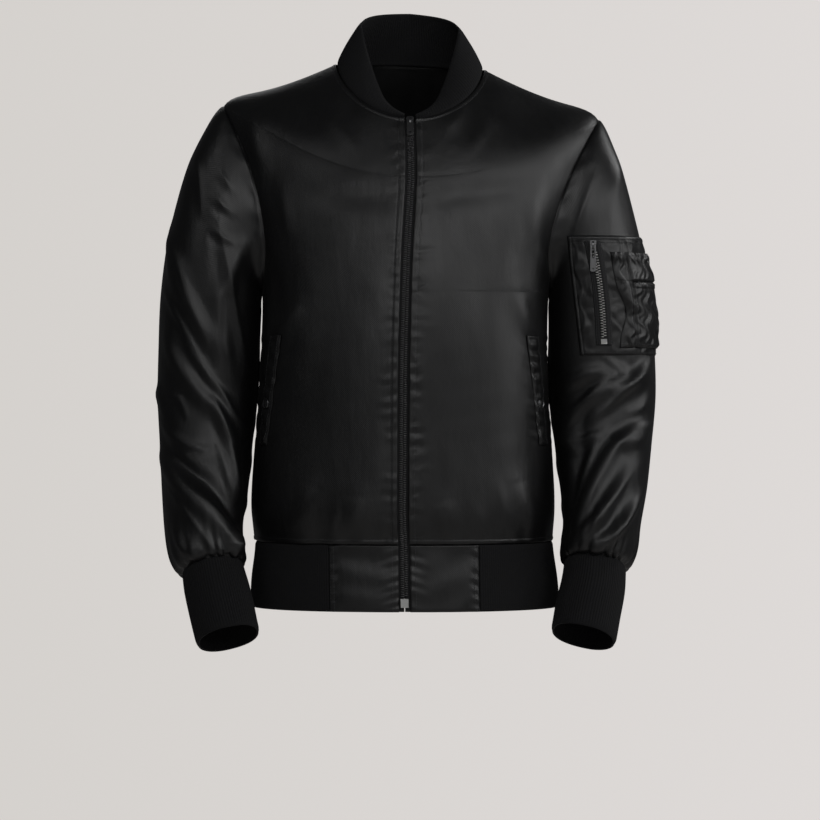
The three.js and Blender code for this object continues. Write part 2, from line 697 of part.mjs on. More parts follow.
// A slider and its tab, in their own frame: +Z up the zip, -Y out of the cloth
function toManifold(geometry) {
  const positions = geometry.attributes.position;
  const keys = new Map();
  const vertices = [];
  const triangles = [];
  const last = positions.count - 1;
  const order = geometry.index ? Array.from(geometry.index.array) : steps(last, 0, last);
  for (const index of order) {
    const place = [positions.getX(index), positions.getY(index), positions.getZ(index)];
    const key = place.map((value) => value.toFixed(4)).join();
    if (!keys.has(key)) {
      keys.set(key, keys.size);
      vertices.push(...place);
    }
    triangles.push(keys.get(key));
  }
  return new wasm.Manifold(new wasm.Mesh({
    numProp: 3, vertProperties: new Float32Array(vertices), triVerts: new Uint32Array(triangles),
  }));
}

function fromManifold(solid) {
  const mesh = solid.getMesh();
  const geometry = new THREE.BufferGeometry();
  geometry.setAttribute('position', new THREE.BufferAttribute(new Float32Array(mesh.vertProperties), 3));
  geometry.setIndex(Array.from(mesh.triVerts));
  return geometry;
}

function block(width, depth, height, x, y, z) {
  return toManifold(new THREE.BoxGeometry(width, depth, height).translate(x, y, z));
}

function sliderBody(size) {
  const outline = new THREE.Shape();
  const half = size.plateLength / 2;
  const wide = size.plateWidth / 2;
  outline.moveTo(-wide * 0.62, -half).lineTo(wide * 0.62, -half).lineTo(wide, half * 0.4)
    .quadraticCurveTo(wide, half, wide * 0.45, half).lineTo(-wide * 0.45, half)
    .quadraticCurveTo(-wide, half, -wide, half * 0.4).closePath();
  const extrusion = { depth: size.plateDepth, bevelEnabled: false, curveSegments: 4 };
  const plate = new THREE.ExtrudeGeometry(outline, extrusion);
  plate.rotateX(Math.PI / 2).translate(0, size.plateDepth, 0);
  const bridgeDepth = size.bridgeRise + 0.5;
  const bridge = block(size.bridgeWidth, bridgeDepth, size.bridgeLength, 0, 0.5 - bridgeDepth / 2, 0);
  const eyeDepth = size.eyeTop - size.eyeBottom;
  const eye = block(size.bridgeWidth + 1, eyeDepth, size.eyeLength, 0, -size.eyeBottom - eyeDepth / 2, 0);
  return fromManifold(toManifold(plate).add(bridge).subtract(eye));
}

function pullTab(size) {
  const wide = size.tabWidth / 2;
  const end = size.tabLength;
  const outline = new THREE.Shape();
  outline.moveTo(-wide * 0.8, size.bar / 2).lineTo(wide * 0.8, size.bar / 2).lineTo(wide, -3)
    .lineTo(wide * 0.8, -end + 2).quadraticCurveTo(wide * 0.7, -end, 0, -end)
    .quadraticCurveTo(-wide * 0.7, -end, -wide * 0.8, -end + 2).lineTo(-wide, -3).closePath();
  const slot = new THREE.Path();
  const slotWide = size.slotWidth / 2;
  slot.moveTo(-slotWide, -size.bar / 2).lineTo(-slotWide, -size.slotEnd).lineTo(slotWide, -size.slotEnd)
    .lineTo(slotWide, -size.bar / 2).closePath();
  const hole = new THREE.Path().absarc(0, -end + 4, size.tabHole, 0, 2 * Math.PI);
  outline.holes.push(slot, hole);
  const extrusion = { depth: size.bar, bevelEnabled: false, curveSegments: 5 };
  const plate = new THREE.ExtrudeGeometry(outline, extrusion);
  plate.rotateX(Math.PI / 2).translate(0, size.bar / 2, 0);
  return fromManifold(toManifold(plate));
}

function pullFrame(place, up) {
  const out = place.normal.clone();
  const above = up.clone().addScaledVector(out, -up.dot(out)).normalize();
  const sideways = out.clone().negate().cross(above).normalize();
  const frame = new THREE.Group();
  frame.matrixAutoUpdate = false;
  frame.matrix.makeBasis(sideways, out.clone().negate(), above).setPosition(place.point);
  return frame;
}

function addPull(names, size, place, up) {
  const frame = pullFrame(place, up);
  add(names.slider, sliderBody(size), 'darkMetal', frame);
  const tab = add(names.tab, pullTab(size), 'darkMetal', frame);
  tab.position.set(0, -size.axisOut, size.axisUp);
  jacket.add(frame);
}

// Side pocket welts and their snaps
function weltPlace(side, across, down, lift) {
  const mirror = side === 'left' ? 1 : -1;
  const turn = welt.topTurn + (welt.bottomTurn - welt.topTurn) * down + welt.across * across;
  const ring = bodyRingAt(turn, welt.top + (welt.bottom - welt.top) * down);
  return onBody(mirror * turn, ring, lift);
}

function pocketWelt(side) {
  return layer(steps(welt.rows), steps(welt.columns), (across, down, lift) => {
    return weltPlace(side, across, down, lift);
  }, satinThickness, satinThickness + welt.stand);
}

function disc(place, size, stand) {
  const geometry = new THREE.CylinderGeometry(size.radius * size.topShare, size.radius, size.height, size.segments);
  geometry.deleteAttribute('normal');
  geometry.deleteAttribute('uv');
  const turn = new THREE.Quaternion().setFromUnitVectors(new THREE.Vector3(0, 1, 0), place.normal);
  geometry.applyQuaternion(turn);
  const centre = place.point.clone().addScaledVector(place.normal, stand + size.height / 2);
  return fromManifold(toManifold(geometry.translate(centre.x, centre.y, centre.z)));
}

// Pocket on the left sleeve, its zip and the pen pocket
const leftSleeve = sleeveGrid('left');

function facetPoint(turn, row) {
  const columns = leftSleeve[0].length;
  const place = ((turn / 360) % 1 + 1) % 1 * columns;
  const column = Math.floor(place);
  const level = Math.min(Math.floor(row), leftSleeve.length - 2);
  const across = place - column;
  const down = row - level;
  const at = (r, c) => leftSleeve[r][c % columns].point.clone();
  const near = at(level, column);
  const far = at(level + 1, column + 1);
  const corner = across > down ? at(level, column + 1) : at(level + 1, column);
  const [first, second] = across > down ? [across, down] : [down, across];
  return near.clone().addScaledVector(corner.clone().sub(near), first).addScaledVector(far.sub(corner), second);
}

function facetNormal(turn, row) {
  const sideways = facetPoint(turn + 8, row).sub(facetPoint(turn - 8, row));
  const downward = facetPoint(turn, row + 0.5).sub(facetPoint(turn, row - 0.5));
  return sideways.cross(downward).normalize();
}

function sleevePlace(turn, height, lift) {
  const row = search(1, leftSleeve.length - 2, (level) => facetPoint(turn, level).z > height);
  const normal = facetNormal(turn, row);
  return { point: facetPoint(turn, row).addScaledVector(normal, lift), normal };
}

function sleeveTurnAt(x, height) {
  return search(5, 175, (turn) => sleevePlace(turn, height, 0).point.x > x);
}

function patchLift() {
  return satinThickness + patchStand;
}

function sleevePocketWall() {
  const { top, bottom, topX, bottomX, fromTurn, toTurn } = sleevePocket;
  const places = [-1, -0.75, -0.5, -0.25, ...steps(sleevePocket.columns)];
  return layer(steps(sleevePocket.rows, bottom, top), places, (part, height, lift) => {
    const edgeX = bottomX + (topX - bottomX) * (height - bottom) / (top - bottom);
    const reach = part < 0 ? fromTurn - sleeveTurnAt(edgeX, height) : toTurn - fromTurn;
    return sleevePlace(fromTurn + reach * part, height, lift);
  }, satinThickness, patchLift());
}

function sleeveZipTurn(height) {
  const part = (height - sleeveZip.top) / (sleeveZip.bottom - sleeveZip.top);
  return sleeveZip.turnTop + (sleeveZip.turnBottom - sleeveZip.turnTop) * part;
}

function sleeveZipStrip(strip, from, to) {
  const halfTurn = strip.width / 2 / radians(sleeveRadius);
  return layer(steps(sleeveZip.rows, from, to), steps(2, 1, -1), (part, height, raise) => {
    return sleevePlace(sleeveZipTurn(height) + halfTurn * part, height, raise);
  }, strip.thickness, patchLift() + strip.stand);
}

function penBase() {
  return 2 * patchLift() + 0.2;
}

function penPocketWall() {
  const turns = steps(penPocket.columns, penPocket.fromTurn, penPocket.toTurn);
  const { bottom, top } = penPocket;
  const heights = [bottom, bottom + 5, bottom + 26, bottom + 52, top];
  const rise = (turn, height) => {
    const side = Math.min((penPocket.fromTurn - turn) * 1.05, (turn - penPocket.toTurn) * 1.05);
    const share = Math.min(side / penPocket.gusset, (height - penPocket.bottom) / 5, 1);
    return penPocket.lift * Math.sin(Math.PI / 2 * Math.max(share, 0));
  };
  return layer(heights, turns, (turn, height, lift) => {
    return sleevePlace(turn, height, lift + rise(turn, height));
  }, satinThickness, penBase());
}

function penTopWall() {
  const turns = steps(penTop.columns, penTop.fromTurn, penTop.toTurn);
  const heights = steps(penTop.rows, penTop.bottom, penTop.top);
  return layer(heights, turns, sleevePlace, satinThickness, penBase());
}

// The whole jacket
for (const side of ['right', 'left']) {
  add(`front_${side}`, frontPanel(side), 'satin');
  add(`sleeve_${side}`, sleeve(side), 'satin');
  add(`cuff_${side}`, cuff(side), 'rib');
  add(`waistband_panel_${side}`, bandPanelWall(side), 'satin');
  add(`zip_tape_${side}`, zipTape(side), 'zipTape');
  add(`pocket_welt_${side}`, pocketWelt(side), 'satin');
  const snapPlace = weltPlace(side, weltSnap.across, weltSnap.down, satinThickness + welt.stand);
  add(`pocket_snap_${side}`, disc(snapPlace, snap, weltSnap.stand), 'darkMetal');
}
add('back', backPanel(), 'satin');
add('collar', collar(), 'rib');
add('waistband_rib', ribBand(), 'rib');
add('zip_chain', zipChainBar(), 'darkMetal');
add('zip_box', zipBottomBox(), 'silver');
add('sleeve_pocket', sleevePocketWall(), 'satin');
const zipTop = sleeveZip.top;
const zipEnd = sleeveZip.bottom;
add('sleeve_zip_tape', sleeveZipStrip(sleeveTape, zipEnd, zipTop), 'zipTape');
add('sleeve_zip_chain', sleeveZipStrip(
  sleeveChain, zipEnd + sleeveChain.fromBottom, zipTop - sleeveChain.belowTop,
), 'darkMetal');
add('sleeve_zip_stop', sleeveZipStrip(
  sleeveStop, zipEnd + sleeveStop.fromBottom, zipEnd + sleeveStop.toBottom,
), 'silver');
add('pen_pocket', penPocketWall(), 'satin');
add('pen_pocket_top', penTopWall(), 'satin');

const upward = new THREE.Vector3(0, 0, 1);
const frontTop = onBody(0, neckRing - sliderPlace.ringDrop, sliderPlace.lift);
addPull({ slider: 'zip_slider', tab: 'zip_pull' }, frontPull, frontTop, upward);
const sliderHeight = sleeveZip.top - sleeveZip.sliderDrop;
const sleeveTop = sleevePlace(sleeveZipTurn(sliderHeight), sliderHeight, patchLift() + sleeveZip.sliderStand);
addPull({ slider: 'sleeve_zip_slider', tab: 'sleeve_zip_pull' }, sleevePull, sleeveTop, upward);

export default jacket;
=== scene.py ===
import json
import math
import bpy
import numpy as np
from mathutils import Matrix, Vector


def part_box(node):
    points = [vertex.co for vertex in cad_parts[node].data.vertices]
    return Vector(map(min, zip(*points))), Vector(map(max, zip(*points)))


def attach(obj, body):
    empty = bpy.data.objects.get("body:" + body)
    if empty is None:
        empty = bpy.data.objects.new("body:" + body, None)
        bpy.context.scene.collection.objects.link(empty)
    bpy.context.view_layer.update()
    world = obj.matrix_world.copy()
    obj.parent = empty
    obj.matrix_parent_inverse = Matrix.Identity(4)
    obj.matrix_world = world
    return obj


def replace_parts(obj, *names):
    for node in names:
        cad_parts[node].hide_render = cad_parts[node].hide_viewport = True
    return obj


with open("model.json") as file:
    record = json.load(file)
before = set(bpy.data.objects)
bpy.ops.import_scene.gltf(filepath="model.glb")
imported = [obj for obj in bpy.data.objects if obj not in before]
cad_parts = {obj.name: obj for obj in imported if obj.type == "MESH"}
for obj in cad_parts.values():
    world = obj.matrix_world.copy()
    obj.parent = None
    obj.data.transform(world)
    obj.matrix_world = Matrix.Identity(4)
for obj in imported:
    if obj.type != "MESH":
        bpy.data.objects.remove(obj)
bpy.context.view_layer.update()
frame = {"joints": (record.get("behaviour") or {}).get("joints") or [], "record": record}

# Lengths in the tables are millimetres; meshes are made in metres
mm = 0.001


# Reading the tables: rows are rings, columns are named
def table(columns, rows):
    values = np.array(rows, float)
    return {name: values[:, i] for i, name in enumerate(columns.split())}


def between(rows, column, position):
    values = rows[column]
    last = len(values) - 1
    position = np.asarray(position, float)
    index = np.clip(np.floor(position), 0, last - 1).astype(int)
    part = position - index
    at = lambda i: values[np.clip(i, 0, last)]
    start, end = at(index), at(index + 1)
    startSlope = (end - at(index - 1)) / np.where(index > 0, 2, 1)
    endSlope = (at(index + 2) - start) / np.where(index + 2 <= last, 2, 1)
    square, cube = part ** 2, part ** 3
    return ((2 * cube - 3 * square + 1) * start + (cube - 2 * square + part) * startSlope
            + (3 * square - 2 * cube) * end + (cube - square) * endSlope)


def blended(rows, column, position):
    values = rows[column]
    last = len(values) - 1
    padded = np.concatenate([[2 * values[0] - values[1]], values, [2 * values[-1] - values[-2]]])
    position = np.asarray(position, float)
    index = np.clip(np.floor(position), 0, last - 1).astype(int)
    part = position - index
    square, cube = part ** 2, part ** 3
    return ((1 - part) ** 3 * padded[index] + (3 * cube - 6 * square + 4) * padded[index + 1]
            + (3 * part + 3 * square - 3 * cube + 1) * padded[index + 2]
            + cube * padded[np.minimum(index + 3, last + 2)]) / 6


def signedPower(value, power):
    return np.sign(value) * np.abs(value) ** power


def unit(vectors):
    return vectors / np.maximum(np.linalg.norm(vectors, axis=-1, keepdims=True), 1e-9)


def smooth(value, low, high):
    part = np.clip((value - low) / (high - low), 0, 1)
    return part * part * (3 - 2 * part)


# Body: rings from hem to neck
bodyColumns = "front side back halfWidth corner frontDepth backDepth squareness shift dip tilt"
body = {
    "rings": table(bodyColumns, [
        [-650, -650, -650, 186, 0, 124, 116, 2.3, -6, 2, 0],
        [-612, -612, -612, 185, 0, 124, 117, 2.3, -7, 2, 0],
        [-569, -569, -569, 176, 0, 119, 115, 2.3, -7, 2, 0],
        [-542, -542, -542, 186, 0, 132, 128, 2.3, -9, 2, 0],
        [-455, -455, -455, 179, 0, 129, 122, 2.3, -8, 2, 0],
        [-362, -362, -362, 173, 0, 128, 124, 2.3, -8, 2, 0],
        [-266, -264, -265, 171, 0, 127, 130, 2.35, -5, 2, 0],
        [-233, -222, -226, 178, 2, 125, 132, 2.35, -4, 2, 0.3],
        [-198, -168, -178, 191, 12, 122, 129, 2.35, -2, 1.9, 0.7],
        [-166, -108, -136, 200, 23, 118, 122, 2.25, 0, 1.8, 1],
        [-140, -46, -97, 201, 37, 113, 112, 2.15, 1.5, 1.6, 1],
        [-117, -37, -60, 168, 14, 107, 99, 2.05, 1, 1.5, 1],
        [-92, -19, -24, 129, 3, 97, 83, 2.05, 0.5, 1.4, 1],
        [-68, 2, 14, 88, 0, 86, 66, 2.05, 0, 1.25, 1],
    ]),
    "shoulderTilt": 0.037,
    "waistRing": 2, "underarmRing": 6, "tipRing": 10, "neckRing": 13,
    "frontCut": 27, "backCut": 24,          # degrees that the armhole cuts in, before and behind
    "wallThickness": 1.2,
    "blouse": 7, "blouseAt": -335, "blouseReach": 110,   # the front hangs fuller half way down
}

# Folds as seen from the front or the back (face 1 or -1): both ends, half width and height
bodyFolds = table("face fromX fromZ toX toZ width height", [
    [1, -190, -62, -174, -130, 11, 4],
    [1, 148, -160, 150, -290, 11, 3],
    [1, 122, -275, 140, -325, 11, 3],
    [1, -128, -290, -150, -330, 11, 3],
    [1, 128, -500, 152, -565, 12, 3.5],
    [1, -110, -505, -140, -560, 13, 3],
    [1, 40, -520, 48, -565, 14, 3],
    [1, -62, -515, -66, -562, 14, 2.5],
    [1, 62, -60, 44, -84, 9, 2],
    [-1, -150, -210, -60, -300, 15, 4],
    [-1, 148, -222, 70, -296, 15, 4],
    [-1, -120, -470, 30, -505, 16, 4],
    [-1, 135, -455, 20, -480, 14, 3.5],
    [-1, -70, -535, -60, -567, 14, 3.5],
    [-1, 55, -530, 62, -567, 14, 3.5],
    # the soft edge across the chest
    [1, -122, -160, -8, -168, 15, -2.6],
    [1, 8, -168, 134, -152, 15, -2.6],
    # finer creases
    [1, 150, -225, 166, -262, 6, 1.6],
    [1, 158, -300, 152, -400, 6, 1.4],
    [1, 104, -500, 118, -560, 6, 1.2],
    [1, 78, -525, 84, -566, 6, 1.0],
    [1, -84, -520, -92, -562, 6, 1.0],
    [1, -30, -535, -34, -566, 6, 0.8],
    [1, -150, -150, -142, -210, 8, 1.6],
    [1, -158, -245, -150, -300, 7, -1.4],
    [1, 96, -70, 70, -110, 8, 1.4],
    [1, -92, -66, -66, -108, 8, 1.2],
    [-1, -165, -240, -110, -330, 8, 1.8],
    [-1, 158, -250, 110, -330, 8, 1.8],
    [-1, -30, -440, 60, -455, 9, 1.5],
    [-1, -20, -540, -14, -566, 6, 1.4],
    [-1, 100, -535, 108, -566, 6, 1.4],
    [-1, -115, -532, -122, -566, 6, 1.4],
])


def bodyForm(turn, ring):
    rings = body["rings"]
    at = lambda column: blended(rings, column, ring)
    turn = np.radians(turn)
    sine, cosine = np.sin(turn), np.cos(turn)
    power = 2 / at("squareness")
    x = at("shift") + at("halfWidth") * signedPower(sine, power) + at("corner") * signedPower(sine, 8)
    y = -signedPower(cosine, power) * np.where(cosine > 0, at("frontDepth"), at("backDepth"))
    level = np.where(cosine > 0, at("front"), at("back"))
    z = at("side") + (level - at("side")) * np.abs(cosine) ** at("dip") - body["shoulderTilt"] * at("tilt") * x
    return np.stack([x, y, z], -1)


def surfaceNormal(form, across, along, step):
    sideways = form(across + step, along) - form(across - step, along)
    upward = form(across, along + 0.02) - form(across, along - 0.02)
    return unit(np.cross(sideways, upward))


def segmentRise(u, v, ends, width, height):
    fromU, fromV, toU, toV = ends
    lengthU, lengthV = toU - fromU, toV - fromV
    part = np.clip(((u - fromU) * lengthU + (v - fromV) * lengthV) / (lengthU ** 2 + lengthV ** 2), 0, 1)
    away = np.hypot(u - fromU - part * lengthU, v - fromV - part * lengthV)
    return part, height * np.exp(-(away / width) ** 2)


def fade(part):
    # a fold is lower towards its ends
    return 0.3 + 0.7 * np.sin(math.pi * np.clip(part, 0, 1)) ** 0.8


def bodyFoldRise(point):
    rise = np.zeros(point.shape[:-1])
    f = bodyFolds
    for i in range(len(f["face"])):
        seen = f["face"][i] * point[..., 1] <= 0
        ends = (f["fromX"][i], f["fromZ"][i], f["toX"][i], f["toZ"][i])
        part, bump = segmentRise(point[..., 0], point[..., 2], ends, f["width"][i], f["height"][i])
        rise += seen * bump * fade(part)
    fuller = np.exp(-((point[..., 2] - body["blouseAt"]) / body["blouseReach"]) ** 2)
    return rise + body["blouse"] * fuller * smooth(-point[..., 1], 10, 90)


def onBody(turn, ring, lift=0):
    turn, ring = np.broadcast_arrays(np.asarray(turn, float), np.asarray(ring, float))
    point = bodyForm(turn, ring)
    normal = surfaceNormal(bodyForm, turn, np.clip(ring, 0.02, body["neckRing"] - 0.02), 0.5)
    return point + normal * (bodyFoldRise(point) + lift)[..., None], normal


def search(low, high, tooLow, shape=(), rounds=20):
    start, end = np.full(shape, float(low)), np.full(shape, float(high))
    for _ in range(rounds):
        middle = (start + end) / 2
        less = tooLow(middle)
        start, end = np.where(less, middle, start), np.where(less, end, middle)
    return (start + end) / 2


def bodyRingAt(turn, height):
    turn, height = np.broadcast_arrays(np.asarray(turn, float), np.asarray(height, float))
    return search(0, body["neckRing"], lambda ring: bodyForm(turn, ring)[..., 2] < height, turn.shape)


def bodyTurnAt(offset, ring):
    offset, ring = np.broadcast_arrays(np.asarray(offset, float), np.asarray(ring, float))
    middle = blended(body["rings"], "shift", ring)
    turn = search(0, 90, lambda t: bodyForm(t, ring)[..., 0] - middle < np.abs(offset), offset.shape)
    return np.sign(offset) * turn


def armholeCut(ring):
    span = body["tipRing"] - body["underarmRing"]
    part = np.clip((ring - body["underarmRing"]) / span, 0, 1)
    return np.sqrt(np.maximum(1 - (1 - 2 * part) ** 2, 0))


def armholeRing(turn):
    return body["underarmRing"] + (body["tipRing"] - body["underarmRing"]) * (1 + np.cos(np.radians(turn))) / 2


def armholeTurn(turn):
    cut = np.sin(np.radians(turn))
    return 90 - np.where(cut > 0, body["frontCut"], body["backCut"]) * cut


# Sleeves: rings from the armhole seam to the cuff seam; turn 0 outer edge, 90 front, 180 inner edge
sleeveColumns = "outX outZ inX inZ midY halfDepth rise"
sleeveRings = {
    "right": table(sleeveColumns, [
        [226, -48, 180, -272, 0, 56, 0],
        [239, -60, 180.5, -277, 0, 60, 6],
        [252, -84, 181, -283, 1, 64, 10],
        [267, -119, 181, -289, 2, 67, 12],
        [281, -165, 181, -298, 3, 69, 12],
        [293, -215, 181.5, -310, 4, 70, 10],
        [300, -270, 182.5, -330, 5, 70, 6],
        [303, -332, 184, -364, 6, 69, 2],
        [304, -395, 187, -407, 5, 67, 4],
        [300, -460, 192, -460, -6, 62, 12],
        [296, -515, 196, -508, -24, 58, 19],
        [291, -560, 201, -550, -42, 55, 21],
        [285, -588, 199, -576, -53, 53, 20],
        [277, -603, 197, -590, -60, 48, 17],
        [268, -609, 201, -596, -63, 38, 15],
    ]),
    "left": table(sleeveColumns, [
        [229, -62, 169, -272, 0, 56, 0],
        [238, -76, 169, -277, 0, 60, 6],
        [247, -99, 169, -283, 1, 64, 10],
        [257, -131, 168.5, -289, 2, 67, 12],
        [268, -172, 168.5, -297, 3, 69, 12],
        [279, -216, 168.5, -309, 4, 70, 10],
        [288, -265, 168.5, -330, 5, 70, 6],
        [294, -327, 168.5, -364, 6, 69, 2],
        [296, -393, 170.5, -405, 5, 67, 4],
        [290, -455, 176, -456, -6, 62, 12],
        [283, -508, 181.5, -503, -24, 58, 19],
        [274, -550, 184, -545, -42, 55, 21],
        [269, -580, 180, -573, -53, 53, 20],
        [262, -597, 180, -587, -60, 48, 17],
        [254, -603, 186, -593, -63, 38, 15],
    ]),
}
cuffRings = {
    "right": table(sleeveColumns, [
        [267.8, -609.7, 200.8, -596.7, -63.3, 38, 15],
        [263, -636, 194, -620, -73, 38, 16],
        [256, -664, 186, -648, -85, 38, 16],
        [248, -690, 179, -674, -96, 38, 16],
    ]),
    "left": table(sleeveColumns, [
        [253.8, -603.7, 185.8, -593.7, -63.3, 38, 15],
        [251, -633, 182, -618, -73, 38, 16],
        [245, -662, 174, -646, -85, 38, 16],
        [239, -688, 168, -672, -96, 38, 16],
    ]),
}
sleeve = {
    "radius": 60,                            # turns an angle round the sleeve into a length
    "columns": 160, "rows": 226, "crowding": 20,   # columns lie closer in front
    "wallThickness": 1.2,
    "allowance": 3.6,
    "gatherHeight": 1.7, "gatherReach": 26,  # soft pleats above the cuff
    "flat": (0.46, 0.62), "flatArea": 0.192,
}
sleeveFoldColumns = "turnA zA turnB zB turnC zC width height"
sleeveFolds = {
    "right": table(sleeveFoldColumns, [
        [15, -200, 55, -270, 105, -345, 11, 5],
        [120, -195, 105, -280, 112, -372, 12, 5],
        [38, -330, 88, -395, 135, -450, 10, 5],
        [100, -405, 125, -450, 150, -515, 9, 4],
        [-10, -400, 22, -392, 42, -428, 9, 3],
        [18, -472, 80, -520, 160, -590, 12, 8],
        [25, -452, 95, -498, 165, -560, 9, -5],
        [45, -560, 60, -585, 70, -598, 9, 4],
        [150, -545, 150, -570, 140, -592, 9, 4],
        [200, -430, 250, -400, 320, -380, 12, 6],
        [195, -480, 250, -455, 330, -430, 12, 5],
        [190, -530, 250, -520, 330, -505, 11, 5],
        [230, -250, 265, -290, 300, -350, 13, 5],
        # finer creases behind
        [340, -250, 352, -330, 350, -400, 8, 2.4],
        [210, -370, 250, -350, 300, -330, 8, 2.4],
        [205, -455, 240, -436, 290, -420, 6, 2.0],
        [200, -560, 250, -555, 320, -545, 8, 2.4],
        [240, -150, 262, -200, 285, -250, 9, 2.2],
    ]),
    "left": table(sleeveFoldColumns, [
        [150, -165, 140, -200, 150, -240, 10, 4],
        [35, -368, 90, -392, 160, -440, 11, 7],
        [150, -395, 110, -372, 75, -366, 8, 5],
        [165, -452, 130, -458, 95, -440, 9, 4],
        [30, -442, 80, -455, 130, -545, 11, 6],
        [70, -490, 95, -540, 150, -588, 10, 6],
        [35, -520, 70, -556, 120, -590, 10, 5],
        [110, -400, 120, -460, 140, -520, 10, -4],
        [200, -430, 250, -400, 320, -380, 12, 6],
        [195, -485, 250, -460, 330, -436, 12, 5],
        [190, -535, 250, -520, 330, -505, 11, 5],
        [230, -250, 265, -290, 300, -350, 13, 5],
        # finer creases behind
        [340, -250, 352, -330, 350, -400, 8, 2.4],
        [210, -375, 250, -352, 300, -330, 8, 2.4],
        [205, -458, 240, -440, 290, -424, 6, 2.0],
        [200, -562, 250, -556, 320, -545, 8, 2.4],
        [240, -150, 262, -200, 285, -250, 9, 2.2],
    ]),
}


# Creases as they show from the front: points (x, z), half width, height
sleeveCreases = {
    "right": [
        ([(-255, -112), (-250, -136), (-246, -182)], 5, 1.8),
        ([(-290, -208), (-276, -235), (-258, -288), (-240, -336)], 7, 3.0),
        ([(-296, -266), (-272, -310), (-237, -376)], 4.5, 2.4),
        ([(-226, -130), (-219, -140), (-212, -152)], 5, 1.6),
        ([(-232, -158), (-222, -171), (-212, -180)], 5, 1.8),
        ([(-234, -198), (-222, -209), (-210, -216)], 5, 1.6),
        ([(-226, -192), (-214, -260), (-204, -320), (-194, -372)], 6, 2.2),
        ([(-268, -326), (-258, -348), (-225, -393), (-206, -427), (-187, -452)], 6, 3.4),
        ([(-232, -402), (-218, -450), (-201, -520)], 5, 2.6),
        ([(-299, -398), (-284, -399), (-272, -404), (-265, -422)], 4, 2.0),
        ([(-300, -420), (-288, -440), (-262, -455), (-238, -462)], 5, 1.8),
        ([(-296, -468), (-263, -502), (-237, -525), (-212, -554), (-190, -590)], 7, 3.2),
        ([(-292, -500), (-262, -535), (-236, -570)], 6, 1.8),
        ([(-256, -570), (-252, -602)], 6, 2.2),
        ([(-206, -560), (-202, -592)], 6, 2.2),
    ],
    "left": [
        ([(216, -140), (205, -175), (194, -208)], 6, 1.8),
        ([(252, -100), (246, -140), (240, -178)], 11, 1.8),
        ([(232, -352), (244, -361), (256, -369)], 4.5, 1.6),
        ([(294, -347), (275, -368), (246, -400), (213, -427), (190, -447)], 5.5, 3.6),
        ([(256, -370), (234, -378), (213, -400), (192, -430), (184, -444)], 5, 2.8),
        ([(186, -451), (204, -449), (222, -444)], 4.5, 1.8),
        ([(293, -432), (264, -438), (241, -461), (225, -494), (199, -545)], 6.5, 3.4),
        ([(224, -446), (208, -484), (194, -527)], 5, 2.4),
        ([(262, -487), (230, -530), (204, -572), (184, -600)], 6, 3.0),
        ([(283, -502), (259, -536), (236, -564), (207, -590), (184, -603)], 6.5, 3.0),
        ([(212, -588), (217, -600)], 5, 2.0),
        ([(268, -562), (264, -590)], 6, 2.2),
        ([(286, -395), (276, -410), (262, -418)], 5, 1.6),
    ],
}


def creaseRise(side, point):
    rise = np.zeros(point.shape[:-1])
    for corners, width, height in sleeveCreases[side]:
        rows = {"x": np.array(corners, float)[:, 0], "z": np.array(corners, float)[:, 1]}
        steps = np.linspace(0, len(corners) - 1, 20)
        x, z = between(rows, "x", steps), between(rows, "z", steps)
        nearest = np.full(rise.shape, 1e9)
        across, part = np.zeros(rise.shape), np.zeros(rise.shape)
        for i in range(len(steps) - 1):
            lengthX, lengthZ = x[i + 1] - x[i], z[i + 1] - z[i]
            fromX, fromZ = point[..., 0] - x[i], point[..., 2] - z[i]
            size = lengthX ** 2 + lengthZ ** 2
            along = np.clip((fromX * lengthX + fromZ * lengthZ) / size, 0, 1)
            away = np.hypot(fromX - along * lengthX, fromZ - along * lengthZ)
            closer = away < nearest
            nearest = np.where(closer, away, nearest)
            across = np.where(closer, (fromX * lengthZ - fromZ * lengthX) / math.sqrt(size), across)
            part = np.where(closer, (i + along) / (len(steps) - 1), part)
        below = np.sign(across) * np.abs(nearest)
        bump = 0.68 * np.exp(-(nearest / width) ** 2) + 0.34 * np.exp(-(nearest / (0.42 * width)) ** 2)
        bump = bump - 0.4 * np.exp(-((below - 1.9 * width) / (1.1 * width)) ** 2)
        rise += height * bump * fade(part)
    return rise


def mirrorOf(side):
    return 1 if side == "left" else -1


def ringPoint(rings, side, turn, ring):
    at = lambda column: between(rings, column, ring)
    turn = np.radians(turn)
    sine, cosine = signedPower(np.sin(turn), 0.92), signedPower(np.cos(turn), 0.92)
    x = (at("outX") + at("inX")) / 2 + cosine * (at("outX") - at("inX")) / 2
    z = (at("outZ") + at("inZ")) / 2 + cosine * (at("outZ") - at("inZ")) / 2 + sine * at("rise")
    return np.stack([mirrorOf(side) * x, at("midY") - sine * at("halfDepth"), z], -1)


def sleeveForm(side, turn, ring):
    turn, ring = np.broadcast_arrays(np.asarray(turn, float), np.asarray(ring, float))
    point = ringPoint(sleeveRings[side], side, turn, ring)
    underarm = np.maximum(-np.cos(np.radians(turn)), 0) ** 2
    share = np.maximum(1 - ring / 3, 0) ** (1.5 + 3.5 * underarm)
    seam = onBody(mirrorOf(side) * armholeTurn(turn), armholeRing(turn))[0]
    return point + (seam - point) * share[..., None]


